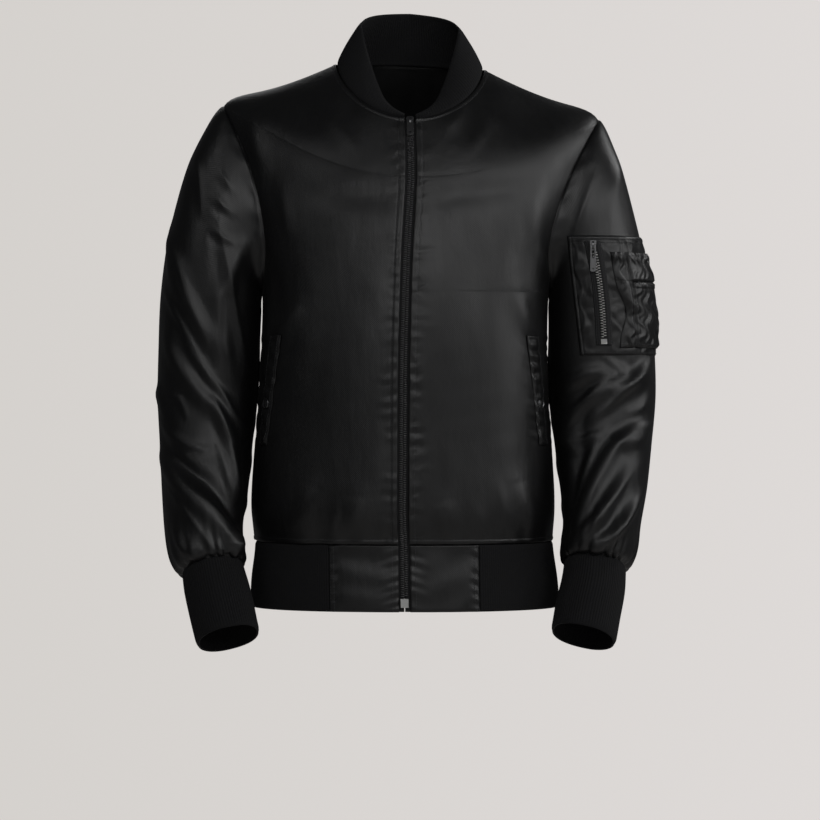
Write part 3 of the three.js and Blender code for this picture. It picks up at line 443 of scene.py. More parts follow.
def sleeveFoldRise(side, turn, point):
    around = np.radians((turn + 60) % 360 - 60) * sleeve["radius"]
    f = sleeveFolds[side]
    rise = np.zeros(point.shape[:-1])
    for i in range(len(f["width"])):
        a, b, c = (np.radians(f[name][i]) * sleeve["radius"] for name in ("turnA", "turnB", "turnC"))
        partA, first = segmentRise(around, point[..., 2], (a, f["zA"][i], b, f["zB"][i]), f["width"][i], f["height"][i])
        partB, second = segmentRise(around, point[..., 2], (b, f["zB"][i], c, f["zC"][i]), f["width"][i], f["height"][i])
        nearer = np.abs(first) > np.abs(second)
        rise += np.where(nearer, first * fade(partA / 2), second * fade(0.5 + partB / 2))
    return rise


def onSleeve(side, turn, ring, lift=0):
    turn, ring = np.broadcast_arrays(np.asarray(turn, float), np.asarray(ring, float))
    last = len(sleeveRings[side]["outX"]) - 1
    form = lambda across, along: sleeveForm(side, across, along)
    point = form(turn, ring)
    normal = mirrorOf(side) * surfaceNormal(form, turn, np.clip(ring, 0.05, last - 0.05), 2)
    calm = np.minimum(ring / 2, 1) * np.minimum((last - ring) / 1.5, 1)
    front = smooth(-normal[..., 1], 0.05, 0.45)
    rise = (sleeveFoldRise(side, turn, point) + creaseRise(side, point) * front) * calm
    return point + normal * (rise + lift)[..., None], normal


# Uneven waves for cloth that isn't quite flat: a few sines with their own directions
def waves(u, v, seed, count, longest, shortest):
    rng = np.random.default_rng(seed)
    total = np.zeros(np.broadcast(u, v).shape)
    for _ in range(count):
        angle, phase = rng.uniform(0, 2 * math.pi, 2)
        length = rng.uniform(shortest, longest)
        total += np.sin(2 * math.pi * (u * math.cos(angle) + v * math.sin(angle)) / length + phase)
    return total / math.sqrt(count)


def edgeDistance(points, axis=1):
    # how far each point lies from the grid's first and last columns, or rows
    reach = np.linalg.norm(np.diff(points, axis=axis), axis=-1)
    first = np.zeros_like(np.take(reach, [0], axis))
    away = np.concatenate([first, np.cumsum(reach, axis)], axis)
    return away, np.take(away, [-1], axis) - away


# Stitches: each is a short capsule along its row, and all are joined into one mesh for each body part
stitch = {"length": 2.5, "gap": 0.9, "radius": 0.34, "raise": 0.12, "sides": 5}
stitchFrames = {}


def gridNormals(points, closed=False):
    if closed:
        wrapped = np.concatenate([points[:, -1:], points, points[:, :1]], 1)
        across = (wrapped[:, 2:] - wrapped[:, :-2])
    else:
        across = np.gradient(points, axis=1)
    return unit(np.cross(across, np.gradient(points, axis=0)))


def stitchAlong(points, away, distance, axis, group="body", outward=1, reach=(0, 1)):
    # a row of stitches at one distance from an edge: along the rows' ends, or the columns' ends when axis is 0
    normals = gridNormals(points) * outward
    if axis == 0:
        points, normals, away = points.transpose(1, 0, 2), normals.transpose(1, 0, 2), away.T
    if away[0, 0] > away[0, -1]:
        points, normals, away = points[:, ::-1], normals[:, ::-1], away[:, ::-1]
    pick = lambda grid: np.array([[np.interp(distance, away[i], grid[i, :, k]) for k in range(3)] for i in range(len(grid))])
    path, facing = pick(points), unit(pick(normals))
    low, high = int(reach[0] * (len(path) - 1)), int(reach[1] * (len(path) - 1)) + 1
    stitchPath(path[low:high], facing[low:high], group)


def stitchPath(path, facing, group):
    length = np.concatenate([[0], np.cumsum(np.linalg.norm(np.diff(path, axis=0), axis=-1))])
    pitch = stitch["length"] + stitch["gap"]
    starts = np.arange(pitch / 2, length[-1] - pitch / 2, pitch)
    at = lambda place: np.stack([np.interp(place, length, path[:, k]) for k in range(3)], -1)
    up = unit(np.stack([np.interp(starts, length, facing[:, k]) for k in range(3)], -1))
    ends = at(starts + stitch["length"] / 2) - at(starts - stitch["length"] / 2)
    along = unit(ends)
    across = unit(np.cross(up, along))
    centre = at(starts) + up * stitch["raise"]
    stitchFrames.setdefault(group, []).append(np.stack([along, across, np.cross(along, across), centre], 1))


def manyParts(name, shape, faces, frames, finish, bodyName="root"):
    # copies of one small shape at many frames, as one mesh
    shape = np.array(shape, float)
    points = np.einsum("vk,nkd->nvd", shape, frames[:, :3]) + frames[:, 3:4]
    count = len(shape)
    allFaces = [[v + i * count for v in face] for i in range(len(frames)) for face in faces]
    mesh = bpy.data.meshes.new(name)
    mesh.from_pydata((points.reshape(-1, 3) * mm).tolist(), [], allFaces)
    mesh.polygons.foreach_set("use_smooth", np.ones(len(allFaces), bool))
    return finishMesh(name, mesh, finish, 0, bodyName)


def capsule(length, radius, sides):
    places = [(-0.5, 0.35), (-0.36, 1), (0.36, 1), (0.5, 0.35)]
    shape = [(part * length, radius * size * math.cos(2 * math.pi * k / sides), radius * size * math.sin(2 * math.pi * k / sides))
             for part, size in places for k in range(sides)]
    faces = [[r * sides + k, r * sides + (k + 1) % sides, (r + 1) * sides + (k + 1) % sides, (r + 1) * sides + k]
             for r in range(3) for k in range(sides)]
    faces += [list(range(sides))[::-1], list(range(3 * sides, 4 * sides))]
    return shape, faces


# Meshes: a grid of points with UVs in metres along the cloth
def gridMesh(name, points, uv, finish, closed=False, thickness=0, bodyName="root"):
    rows, columns = points.shape[:2]
    index = np.arange(rows * columns).reshape(rows, columns)
    if closed:
        index = np.concatenate([index, index[:, :1]], 1)
    quads = np.stack([index[:-1, :-1], index[:-1, 1:], index[1:, 1:], index[1:, :-1]], -1).reshape(-1, 4)
    mesh = bpy.data.meshes.new(name)
    mesh.from_pydata((points.reshape(-1, 3) * mm).tolist(), [], quads.tolist())
    layer = mesh.uv_layers.new(name="UVMap")
    if uv.shape[1] == columns and closed:
        uv = np.concatenate([uv, uv[:, -1:] * 2 - uv[:, -2:-1]], 1)
    flat = uv.reshape(-1, 2)
    wide = uv.shape[1]
    place = np.arange(rows * wide).reshape(rows, wide)
    corner = np.stack([place[:-1, :-1], place[:-1, 1:], place[1:, 1:], place[1:, :-1]], -1).reshape(-1)
    layer.data.foreach_set("uv", (flat[corner] * mm).reshape(-1).astype(np.float32))
    mesh.polygons.foreach_set("use_smooth", np.ones(len(quads), bool))
    return finishMesh(name, mesh, finish, thickness, bodyName)


def finishMesh(name, mesh, finish, thickness=0, bodyName="root"):
    mesh.update()
    obj = bpy.data.objects.new(name, mesh)
    bpy.context.scene.collection.objects.link(obj)
    mesh.materials.append(finish["material"])
    if thickness:
        wall = obj.modifiers.new("wall", "SOLIDIFY")
        wall.thickness = thickness * mm
        wall.offset = -1
    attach(obj, bodyName)
    return obj


def clothLengths(points):
    along = np.linalg.norm(np.diff(points, axis=0), axis=-1).mean(1)
    across = np.linalg.norm(np.diff(points, axis=1), axis=-1).mean(0)
    v = np.concatenate([[0], np.cumsum(along)])
    u = np.concatenate([[0], np.cumsum(across)])
    return np.stack(np.broadcast_arrays(u[None, :], v[:, None]), -1)


# Finishes
def newMaterial(name):
    material = bpy.data.materials.new(name)
    material.use_nodes = True
    nodes = material.node_tree.nodes
    return material, nodes, material.node_tree.links, nodes["Principled BSDF"]


def textureAt(nodes, links, kind, coordinates, scale, **settings):
    node = nodes.new(kind)
    for name, value in settings.items():
        setattr(node, name, value)
    node.inputs["Scale"].default_value = scale
    links.new(coordinates, node.inputs["Vector"])
    return node


satinLook = {
    "base": (0.0045, 0.0045, 0.0048), "roughness": (0.25, 0.52), "twillPitch": 0.0011, "streak": 0.3,
    "sheen": 0.01, "bump": 0.00016, "grainBump": 0.0011,
}


def satinFinish():
    material, nodes, links, shader = newMaterial("blackSatin")
    look = satinLook
    shader.inputs["Base Color"].default_value = (*look["base"], 1)
    shader.inputs["Sheen Weight"].default_value = look["sheen"]
    shader.inputs["Sheen Roughness"].default_value = 0.4
    place = nodes.new("ShaderNodeTexCoord")
    twill = textureAt(nodes, links, "ShaderNodeTexWave", place.outputs["UV"], 2 * math.pi / 20 / look["twillPitch"],
                      wave_type="BANDS", bands_direction="DIAGONAL")
    twill.inputs["Distortion"].default_value = 1.6
    twill.inputs["Detail"].default_value = 3
    twill.inputs["Detail Scale"].default_value = 2
    stretch = nodes.new("ShaderNodeMapping")
    stretch.inputs["Scale"].default_value = (1, 1, look["streak"])
    links.new(place.outputs["Object"], stretch.inputs["Vector"])
    patches = textureAt(nodes, links, "ShaderNodeTexNoise", stretch.outputs["Vector"], 34)
    patches.inputs["Detail"].default_value = 6
    patches.inputs["Roughness"].default_value = 0.62
    spread = nodes.new("ShaderNodeMapRange")
    spread.inputs["To Min"].default_value, spread.inputs["To Max"].default_value = look["roughness"]
    links.new(patches.outputs["Fac"], spread.inputs["Value"])
    links.new(spread.outputs["Result"], shader.inputs["Roughness"])
    grain = textureAt(nodes, links, "ShaderNodeTexNoise", stretch.outputs["Vector"], 75)
    grain.inputs["Detail"].default_value = 4
    soft = nodes.new("ShaderNodeBump")
    soft.inputs["Strength"].default_value = 0.5
    soft.inputs["Distance"].default_value = look["grainBump"]
    links.new(grain.outputs["Fac"], soft.inputs["Height"])
    bump = nodes.new("ShaderNodeBump")
    bump.inputs["Strength"].default_value = 0.45
    bump.inputs["Distance"].default_value = look["bump"]
    links.new(twill.outputs["Fac"], bump.inputs["Height"])
    links.new(soft.outputs["Normal"], bump.inputs["Normal"])
    links.new(bump.outputs["Normal"], shader.inputs["Normal"])
    return {"material": material, "slot": "satin"}


ribLook = {"base": (0.009, 0.009, 0.0097), "roughness": 0.9, "sheen": 0.02, "gloss": 0.15, "stitchPitch": 0.0016}


def ribFinish():
    material, nodes, links, shader = newMaterial("blackRibKnit")
    look = ribLook
    shader.inputs["Roughness"].default_value = look["roughness"]
    shader.inputs["Sheen Weight"].default_value = look["sheen"]
    shader.inputs["Sheen Roughness"].default_value = 0.6
    shader.inputs["Specular IOR Level"].default_value = look["gloss"]
    place = nodes.new("ShaderNodeTexCoord")
    loops = textureAt(nodes, links, "ShaderNodeTexWave", place.outputs["UV"], 2 * math.pi / 20 / look["stitchPitch"],
                      wave_type="BANDS", bands_direction="Y")
    loops.inputs["Distortion"].default_value = 2.5
    loops.inputs["Detail Scale"].default_value = 3
    fuzz = textureAt(nodes, links, "ShaderNodeTexNoise", place.outputs["Object"], 900)
    fuzz.inputs["Detail"].default_value = 4
    shade = nodes.new("ShaderNodeMix")
    shade.data_type = "RGBA"
    shade.inputs[6].default_value = (*[c * 0.7 for c in look["base"]], 1)
    shade.inputs[7].default_value = (*[c * 1.5 for c in look["base"]], 1)
    links.new(fuzz.outputs["Fac"], shade.inputs[0])
    links.new(shade.outputs[2], shader.inputs["Base Color"])
    bump = nodes.new("ShaderNodeBump")
    bump.inputs["Strength"].default_value = 0.6
    bump.inputs["Distance"].default_value = 0.0003
    links.new(loops.outputs["Fac"], bump.inputs["Height"])
    links.new(bump.outputs["Normal"], shader.inputs["Normal"])
    return {"material": material, "slot": "rib"}


def plainFinish(name, slot, base, roughness, metallic, noiseScale, spreadBy):
    material, nodes, links, shader = newMaterial(name)
    shader.inputs["Base Color"].default_value = (*base, 1)
    shader.inputs["Metallic"].default_value = metallic
    place = nodes.new("ShaderNodeTexCoord")
    noise = textureAt(nodes, links, "ShaderNodeTexNoise", place.outputs["Object"], noiseScale)
    spread = nodes.new("ShaderNodeMapRange")
    spread.inputs["To Min"].default_value = roughness - spreadBy
    spread.inputs["To Max"].default_value = roughness + spreadBy
    links.new(noise.outputs["Fac"], spread.inputs["Value"])
    links.new(spread.outputs["Result"], shader.inputs["Roughness"])
    bump = nodes.new("ShaderNodeBump")
    bump.inputs["Strength"].default_value = 0.3
    bump.inputs["Distance"].default_value = 0.0001
    links.new(noise.outputs["Fac"], bump.inputs["Height"])
    links.new(bump.outputs["Normal"], shader.inputs["Normal"])
    return {"material": material, "slot": slot}


satin = satinFinish()
rib = ribFinish()
tape = plainFinish("blackZipTape", "zip_tape", (0.008, 0.008, 0.009), 0.8, 0, 1400, 0.1)
darkMetal = plainFinish("darkZipMetal", "dark_metal", (0.12, 0.12, 0.122), 0.32, 1, 500, 0.08)
# a brighter copy of the dark zip metal, same slot, for the sleeve zip's teeth: painted highlight so that they read lit
paintedHighlightTeeth = plainFinish("zipTeethPaintedHighlight", "dark_metal", (0.42, 0.42, 0.41), 0.3, 1, 500, 0.08)
silver = plainFinish("brightMetal", "silver_metal", (0.5, 0.5, 0.49), 0.34, 1, 400, 0.08)
thread = plainFinish("blackThread", "satin", (0.02, 0.02, 0.022), 0.5, 0, 900, 0.1)
print("finishes made")

# Front and back panels
panel = {
    "zipOpening": 6.5, "frontColumns": 96, "backColumns": 130, "rows": 176, "armholeRows": 7,
    "seamTuck": 1.4, "seamTuckWidth": 1.8,    # how the cloth turns in at a seam
    "stitchFromZip": 6.6, "stitchFromSeam": 4.8,
    "frontFlat": (0.28, 0.60), "frontArea": 0.128, "backFlat": (0.54, 0.62), "backArea": 0.277,
}


# Side pocket welts: their front edge puckers the panel
welt = {
    "topTurn": 51, "bottomTurn": 61, "across": 10, "top": -326, "bottom": -456, "lift": 2.5, "pucker": 0.6,
    "rows": 96, "columns": 30, "snapAcross": 0.5, "snapDown": 0.62, "flat": (0.028, 0.134),
}
weltHeights = np.linspace(welt["bottom"], welt["top"], 40)
weltTurns = np.linspace(welt["bottomTurn"], welt["topTurn"], 40)
weltEdge = {
    side: (weltHeights, onBody(side * weltTurns, bodyRingAt(weltTurns, weltHeights))[0][..., 0]) for side in (-1, 1)
}


def crowded(count, length, ends):
    # steps from 0 to 1 that lie closer near the ends: (from the start, from the end) as (strength, reach)
    place = np.linspace(0, length, 2000)
    density = 1 + 0 * place
    for away, (strength, reach) in zip((place, length - place), ends):
        density += strength * np.exp(-(away / reach) ** 2)
    total = np.concatenate([[0], np.cumsum(density[:-1])])
    return np.interp(np.linspace(0, total[-1], count), total, place) / length


def edgeSteps(count, crowd=0.55):
    part = np.linspace(0, 1, count)
    return part * (1 - crowd) + crowd * (1 - np.cos(math.pi * part)) / 2


def weltPucker(point):
    # ripples where the welt's front edge is sewn on
    side = 1 if point[..., 0].mean() > 0 else -1
    away = (np.interp(point[..., 2], *weltEdge[side]) - point[..., 0]) * side
    top, bottom = welt["top"], welt["bottom"]
    within = smooth(point[..., 2], bottom - 12, bottom + 8) * (1 - smooth(point[..., 2], top - 4, top + 12))
    ripple = waves(point[..., 2] - 0.4 * away, away * 0.2, 75 + side, 8, 28, 7)
    reach = 7 + 5 * np.abs(waves(point[..., 2], 0 * away, 77 + side, 4, 50, 22))
    return welt["pucker"] * ripple * within * np.exp(-(np.maximum(away, 0) / reach) ** 2) * (point[..., 1] < 0)


def panelRings():
    rows = panel["rows"]
    low = body["waistRing"] + 0.02
    high = body["neckRing"] - 0.03
    rings = np.linspace(low, high, 800)
    level = bodyForm(np.full(800, 35.0), rings)[..., 2]
    share = crowded(rows, level[-1] - level[0], ((3, 12), (3, 10)))
    plain = np.interp(level[0] + (level[-1] - level[0]) * share, level, rings)
    # close rows where the armhole turns in, so that no quad is drawn out there
    close = 0.003 * np.arange(1, panel["armholeRows"] + 1) ** 2
    return np.sort(np.concatenate([plain, body["underarmRing"] + close, body["tipRing"] - close]))


def panelEdge(ring, front):
    cut = body["frontCut"] if front else body["backCut"]
    return 90 - cut * armholeCut(ring)


def bodyGather(point, ring):
    # soft pleats above the hem band, stronger behind
    above = np.maximum(point[..., 2] + 569, 0)
    around = point[..., 0] + 0.6 * point[..., 1]
    strength = np.where(point[..., 1] < 0, 0.55, 1.2)
    pleats = waves(around, point[..., 2] * 0.15, 3, 5, 34, 13)
    return strength * pleats * np.exp(-(above / 20) ** 1.3)


def turnedEdge(away, band):
    # the doubled strip beside a seam, with the dent of its stitches
    strip = 0.55 * (1 - smooth(away, band - 0.4, band + 1.2))
    dent = -0.45 * np.exp(-((away - band - 0.6) / 0.8) ** 2)
    return strip + dent


def zipPucker(point, ring):
    # short ripples where the front edge is sewn to the zip
    middle = blended(body["rings"], "shift", ring)
    away = np.abs(point[..., 0] - middle)
    side = np.sign(point[..., 0] - middle)
    level = point[..., 2] + 1.5 * waves(point[..., 2], away, 15 + side.astype(int)[0, 0], 3, 30, 12)
    ripple = waves(level, away * 0.12, 11 + 2 * (side[0, 0] > 0), 6, 13, 6) + 0.5 * waves(level, away * 0.2, 19, 4, 30, 14)
    reach = 6 + 6 * np.abs(waves(level, 0 * level, 13 + (side[0, 0] > 0), 4, 60, 25))
    strength = 0.34 + 0.28 * smooth(-level, 130, 420)
    beyond = np.exp(-(np.maximum(away - 13, 0) / reach) ** 2)
    return strength * ripple * beyond * smooth(away, 5, 8.5) * (point[..., 1] < 0)


def bodySurface(turn, ring, sideAway, zipAway=None):
    point, normal = onBody(turn, ring)
    fromWaist, fromNeck = edgeDistance(point, 0)
    edgeAway = sideAway if zipAway is None else np.minimum(sideAway, zipAway)
    drape = 0.45 * waves(point[..., 0], point[..., 2] * 0.5, 5, 7, 130, 55) * smooth(edgeAway, 2, 30)
    drape += 0.075 * waves(point[..., 0], point[..., 2] * 0.6, 6, 9, 42, 15) * smooth(edgeAway, 2, 12)
    seams = np.minimum(np.minimum(sideAway, fromWaist + 0.6), fromNeck + 0.4)
    tuck = -panel["seamTuck"] * np.exp(-(seams / panel["seamTuckWidth"]) ** 2)
    turned = turnedEdge(fromWaist, panel["stitchFromSeam"]) + turnedEdge(fromNeck, panel["stitchFromSeam"])
    rise = drape + tuck + turned + bodyGather(point, ring) + zipPucker(point, ring)
    if zipAway is not None:
        rise += weltPucker(point)
        rise += turnedEdge(zipAway, panel["stitchFromZip"]) - 0.5 * np.exp(-((zipAway + 0.3) / 0.8) ** 2)
    points = point + normal * rise[..., None]
    stitchAlong(points, fromWaist, panel["stitchFromSeam"] + 0.6, 0)
    stitchAlong(points, fromNeck, panel["stitchFromSeam"] + 0.6, 0)
    if zipAway is not None:
        stitchAlong(points, zipAway, panel["stitchFromZip"] + 0.6, 1)
    return points


def frontPanel(side):
    mirror = mirrorOf(side)
    rings = panelRings()[:, None]
    start = bodyTurnAt(panel["zipOpening"], rings)
    end = panelEdge(rings, True) - 0.03
    part = crowded(panel["frontColumns"], 190, ((2.5, 11), (1.5, 4)))[None, :]
    turns = start + (end - start) * part
    rings = np.broadcast_to(rings, turns.shape)
    plain = onBody(mirror * turns, rings)[0]
    fromZip, fromSide = edgeDistance(plain)
    points = bodySurface(mirror * turns, rings, fromSide, fromZip)
    if side == "right":
        points = points[:, ::-1]
    obj = gridMesh("front_" + side + "_cloth", points, clothLengths(points), satin, thickness=body["wallThickness"])
    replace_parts(obj, "front_" + side)
    return obj


def backPanel():
    rings = panelRings()[:, None]
    edge = 180 - panelEdge(rings, False) + 0.03
    part = crowded(panel["backColumns"], 440, ((1.5, 5), (1.5, 5)))[None, :]
    turns = edge + (360 - 2 * edge) * part
    rings = np.broadcast_to(rings, turns.shape)
    fromLeft, fromRight = edgeDistance(onBody(turns, rings)[0])
    points = bodySurface(turns, rings, np.minimum(fromLeft, fromRight))
    obj = gridMesh("back_cloth", points, clothLengths(points), satin, thickness=body["wallThickness"])
    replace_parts(obj, "back")
    return obj


def sleeveCloth(side):
    last = len(sleeveRings[side]["outX"]) - 1
    turns = np.linspace(200, 560, sleeve["columns"], endpoint=False)[None, :]
    turns = turns + sleeve["crowding"] * np.cos(np.radians(turns))
    rings = (last * edgeSteps(sleeve["rows"], 0.3) ** 1.05)[:, None]
    turns, rings = np.broadcast_arrays(turns, rings)
    point, normal = onSleeve(side, turns, rings)
    around = np.radians(turns) * sleeve["radius"]
    toCuff = np.linalg.norm(point - point[-1:], axis=-1)
    fromSeam = np.linalg.norm(point - point[:1], axis=-1)
    pleats = waves(np.sin(np.radians(turns)) * 60 * 4, np.cos(np.radians(turns)) * 60 * 4, 21 + (side == "left"), 9, 90, 50)
    reach = sleeve["gatherReach"] * (1 + 0.4 * waves(around, 0 * around, 31, 4, 90, 40))
    pleats = pleats * sleeve["gatherHeight"] * np.exp(-(toCuff / np.maximum(reach, 8)) ** 1.4) * smooth(toCuff, 0, 5)
    drape = 0.6 * waves(around, point[..., 2] * 0.7, 17, 7, 110, 40) * smooth(fromSeam, 3, 40) * smooth(toCuff, 3, 40)
    ease = 0.5 * waves(around, 0 * around, 41, 5, 26, 14) * np.exp(-((fromSeam - 6) / 7) ** 2)
    tuck = -1.4 * np.exp(-(fromSeam / 2) ** 2)
    points = point + normal * (pleats + drape + ease + tuck)[..., None]
    seam, bodyNormal = onBody(mirrorOf(side) * armholeTurn(turns[:1]), armholeRing(turns[:1]))
    points = np.concatenate([seam - bodyNormal * sleeve["allowance"], points])
    if side == "left":
        points = points[:, ::-1]
    obj = gridMesh("sleeve_" + side + "_cloth", points, clothLengths(points), satin, closed=True,
                   thickness=sleeve["wallThickness"])
    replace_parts(obj, "sleeve_" + side)
    return obj


for side in ("right", "left"):
    frontPanel(side)
backPanel()
for side in ("right", "left"):
    sleeveCloth(side)
print("panels and sleeves made")

# Rib knit pieces: fine ribs as real grooves
ribKnit = {
    "pitch": 2.9, "height": 0.55, "wallThickness": 2.2, "columnsToRib": 4,
    "collarFlat": (0.075, 0.5), "collarArea": 0.026, "cuffFlat": (0.24, 0.092), "cuffArea": 0.0221,
    "bandFlat": (0.86, 0.086), "bandArea": 0.074, "underSeam": 4,
}
collarPlaces = table("turn width lean", [
    [4, 5, 40], [18, 17, 50], [38, 33, 52], [62, 44, 44], [90, 52, 33], [135, 58, 20], [180, 60, 14],
])


def ribLift(count):
    phase = np.arange(count) / ribKnit["columnsToRib"]
    return ribKnit["height"] * (0.5 - 0.5 * np.cos(2 * math.pi * phase))


def byTurn(column, turn):
    turns = collarPlaces["turn"]
    position = np.interp(turn, turns, np.arange(len(turns)))
    return between(collarPlaces, column, position)


def collarPoint(turn, part, lift):
    base = bodyForm(turn, np.full(turn.shape, float(body["neckRing"])))
    wrapped = np.where(turn > 180, 360 - turn, turn)
    lean = np.radians(byTurn("lean", wrapped))[..., None]
    inward = unit(np.stack([-base[..., 0], -base[..., 1] - 8, 0 * turn], -1))
    up = np.array([0, 0, 1.0])
    rise = inward * np.sin(lean) + up * np.cos(lean)
    outward = -inward * np.cos(lean) + up * np.sin(lean)
    width = byTurn("width", wrapped)
    crown = 2.5 * np.sin(math.pi * np.maximum(part, 0)) * np.minimum(width / 50, 1)
    neckNormal = surfaceNormal(bodyForm, turn, np.full(turn.shape, body["neckRing"] - 0.02), 0.5)
    seamGap = 0.35
    under = np.maximum(-part, 0)[..., None] * ribKnit["underSeam"]
    down = rise * (seamGap + np.maximum(part, 0) * width)[..., None] - up * under - neckNormal * under * 0.35
    return base + neckNormal * seamGap * (part >= 0)[..., None] + down + outward * (crown + lift)[..., None]


def collarCloth():
    first = collarPlaces["turn"][0]
    length = 470
    count = int(length / ribKnit["pitch"]) * ribKnit["columnsToRib"] + 1
    turns = np.linspace(first, 360 - first, count)[None, :]
    part = np.concatenate([[-1, -0.5], np.linspace(0, 1, 18) ** 1.1])[:, None]
    turns, part = np.broadcast_arrays(turns, part)
    roll = 1 - np.exp(-((1 - part) * byTurn("width", np.where(turns > 180, 360 - turns, turns)) / 3) ** 2)
    lift = ribLift(count)[None, :] * roll - 1.2 * (1 - roll) - 0.8 * np.exp(-(np.maximum(part, 0) * 40 / 2) ** 2)
    points = collarPoint(turns, part, lift)
    obj = gridMesh("collar_knit", points, clothLengths(points), rib, thickness=ribKnit["wallThickness"])
    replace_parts(obj, "collar")
    return obj


def cuffKnit(side):
    count = int(230 / ribKnit["pitch"]) * ribKnit["columnsToRib"]
    turns = np.linspace(0, 360, count, endpoint=False)[None, :]
    rings = 3 * crowded(20, 80, ((3, 5), (3, 5)))[:, None]
    turns, rings = np.broadcast_arrays(turns, rings)
    form = lambda across, along: ringPoint(cuffRings[side], side, across, along)
    normal = mirrorOf(side) * surfaceNormal(form, turns, np.clip(rings, 0.05, 2.95), 2)
    roll = np.exp(-((3 - rings) * 26 / 2.5) ** 2)
    tuck = np.exp(-(rings * 26 / 2) ** 2)
    lift = ribLift(count)[None, :] * (1 - roll) * (1 - 0.6 * tuck) - 1.1 * roll - 0.8 * tuck
    lift = lift + 0.7 * waves(np.cos(np.radians(turns)) * 60, rings * 26, 51, 4, 120, 50) * smooth(rings, 0.1, 0.8)
    points = form(turns, rings) + normal * lift[..., None]
    if side == "left":
        points = points[:, ::-1]
    obj = gridMesh("cuff_" + side + "_knit", points, clothLengths(points), rib, closed=True,
                   thickness=ribKnit["wallThickness"])
    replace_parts(obj, "cuff_" + side)
    return obj


hemBand = {
    "allowance": 3.8, "panelWidth": 82, "top": body["waistRing"] - 0.02, "rows": 17, "panelFlat": (0.086, 0.086),
}


def bandEdge(ring):
    return bodyTurnAt(panel["zipOpening"] + hemBand["panelWidth"], ring)


def ribBand():
    count = int(880 / ribKnit["pitch"]) * ribKnit["columnsToRib"] + 1
    rings = hemBand["top"] * np.append(crowded(hemBand["rows"], 81, ((4, 5), (4, 5))), 1)[:, None]
    edge = bandEdge(rings) + 0.02
    part = np.concatenate([[0], np.linspace(0, 1, count), [1]])[None, :]
    turns = edge + (360 - 2 * edge) * part
    rings = np.broadcast_to(rings, turns.shape)
    roll = np.exp(-(rings * 38 / 2.5) ** 2)
    tuck = np.exp(-((hemBand["top"] - rings) * 43 / 2.2) ** 2)
    ribs = np.concatenate([[0], ribLift(count), [0]])[None, :]
    lift = ribs * (1 - roll) * (1 - 0.6 * tuck) - 1.1 * roll - 0.9 * tuck
    lift[-1] = lift[:, 0] = lift[:, -1] = -hemBand["allowance"]
    points = onBody(turns, rings, lift)[0]
    obj = gridMesh("hem_band_knit", points, clothLengths(points), rib, thickness=ribKnit["wallThickness"])
    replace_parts(obj, "waistband_rib")
    return obj


def bandPanel(side):
    mirror = mirrorOf(side)
    rings = np.linspace(0, hemBand["top"], 48)[:, None]
    start, end = bodyTurnAt(panel["zipOpening"], rings), bandEdge(rings)
    turns = start + (end - start) * edgeSteps(64)[None, :]
    rings = np.broadcast_to(rings, turns.shape)
    plain = onBody(mirror * turns, rings)[0]
    fromZip, fromEnd = edgeDistance(plain)
    height = plain[..., 2] + 650
    tuck = -1.1 * np.exp(-(np.minimum(np.minimum(fromZip + 0.6, fromEnd), np.minimum(height + 0.5, 81 - height)) / 1.8) ** 2)
    nearEnds = np.exp(-((fromEnd - 5) / 5) ** 2) + np.exp(-(fromZip / 15) ** 2)
    pucker = 0.7 * waves(height + 0.3 * fromZip, 0 * height, 61 + mirror, 6, 15, 7) * nearEnds
    drape = 0.5 * waves(plain[..., 0], height, 63 + mirror, 5, 70, 28)
    points = onBody(mirror * turns, rings, tuck + pucker + drape * smooth(np.minimum(fromZip, fromEnd), 3, 20))[0]
    for distance in (2.2, 6.6):
        stitchAlong(points, fromEnd, distance, 1, "hem", mirror)
    stitchAlong(points, fromZip, panel["stitchFromZip"] + 0.6, 1, "hem", mirror)
    if side == "right":
        points = points[:, ::-1]
    obj = gridMesh("waistband_panel_" + side + "_cloth", points, clothLengths(points), satin, thickness=body["wallThickness"])
    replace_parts(obj, "waistband_panel_" + side)
    return obj


collarCloth()
for side in ("right", "left"):
    cuffKnit(side)
ribBand()
for side in ("right", "left"):
    bandPanel(side)
print("rib and hem band made")

# Side pocket welts with their snaps
def weltCloth(side):
    mirror = mirrorOf(side)
    down = np.linspace(0, 1, welt["rows"])[:, None]
    across = np.linspace(0, 1, welt["columns"])[None, :]
    down, across = np.broadcast_arrays(down, across)
    turn = welt["topTurn"] + (welt["bottomTurn"] - welt["topTurn"]) * down + welt["across"] * across
    ring = bodyRingAt(turn, welt["top"] + (welt["bottom"] - welt["top"]) * down)
    plain = onBody(mirror * turn, ring)[0]
    fromFront, fromBehind = edgeDistance(plain)
    fromTop, fromEnd = edgeDistance(plain, 0)
    edge = np.minimum(np.minimum(fromFront, fromBehind + 0.5), np.minimum(fromTop, fromEnd))
    ripple = 0.8 * waves(plain[..., 2], fromFront * 0.4, 71 + mirror, 6, 20, 8)
    lift = welt["lift"] - 1.4 * np.exp(-(edge / 1.8) ** 2) - 1.2 * smooth(fromFront, 12, 24) + ripple * smooth(edge, 0, 4)
    lift = lift + weltPucker(plain) * np.exp(-(fromFront / 8) ** 2)
    points = onBody(mirror * turn, ring, lift)[0]
    stitchAlong(points, fromFront, 3.4, 1, "body", -mirror)
    stitchAlong(points, fromBehind, 3.4, 1, "body", -mirror)
    if side == "left":
        points = points[:, ::-1]
    obj = gridMesh("pocket_welt_" + side + "_cloth", points, clothLengths(points), satin, thickness=0.9)
    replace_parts(obj, "pocket_welt_" + side)
    return obj


snapProfile = [  # radius and height above the cloth
    (0.01, 1.5), (2.2, 1.45), (3.6, 1.25), (4.3, 1.0), (4.7, 1.25), (5.4, 1.75), (6.1, 1.6), (6.5, 0.9), (6.4, 0.0),
]


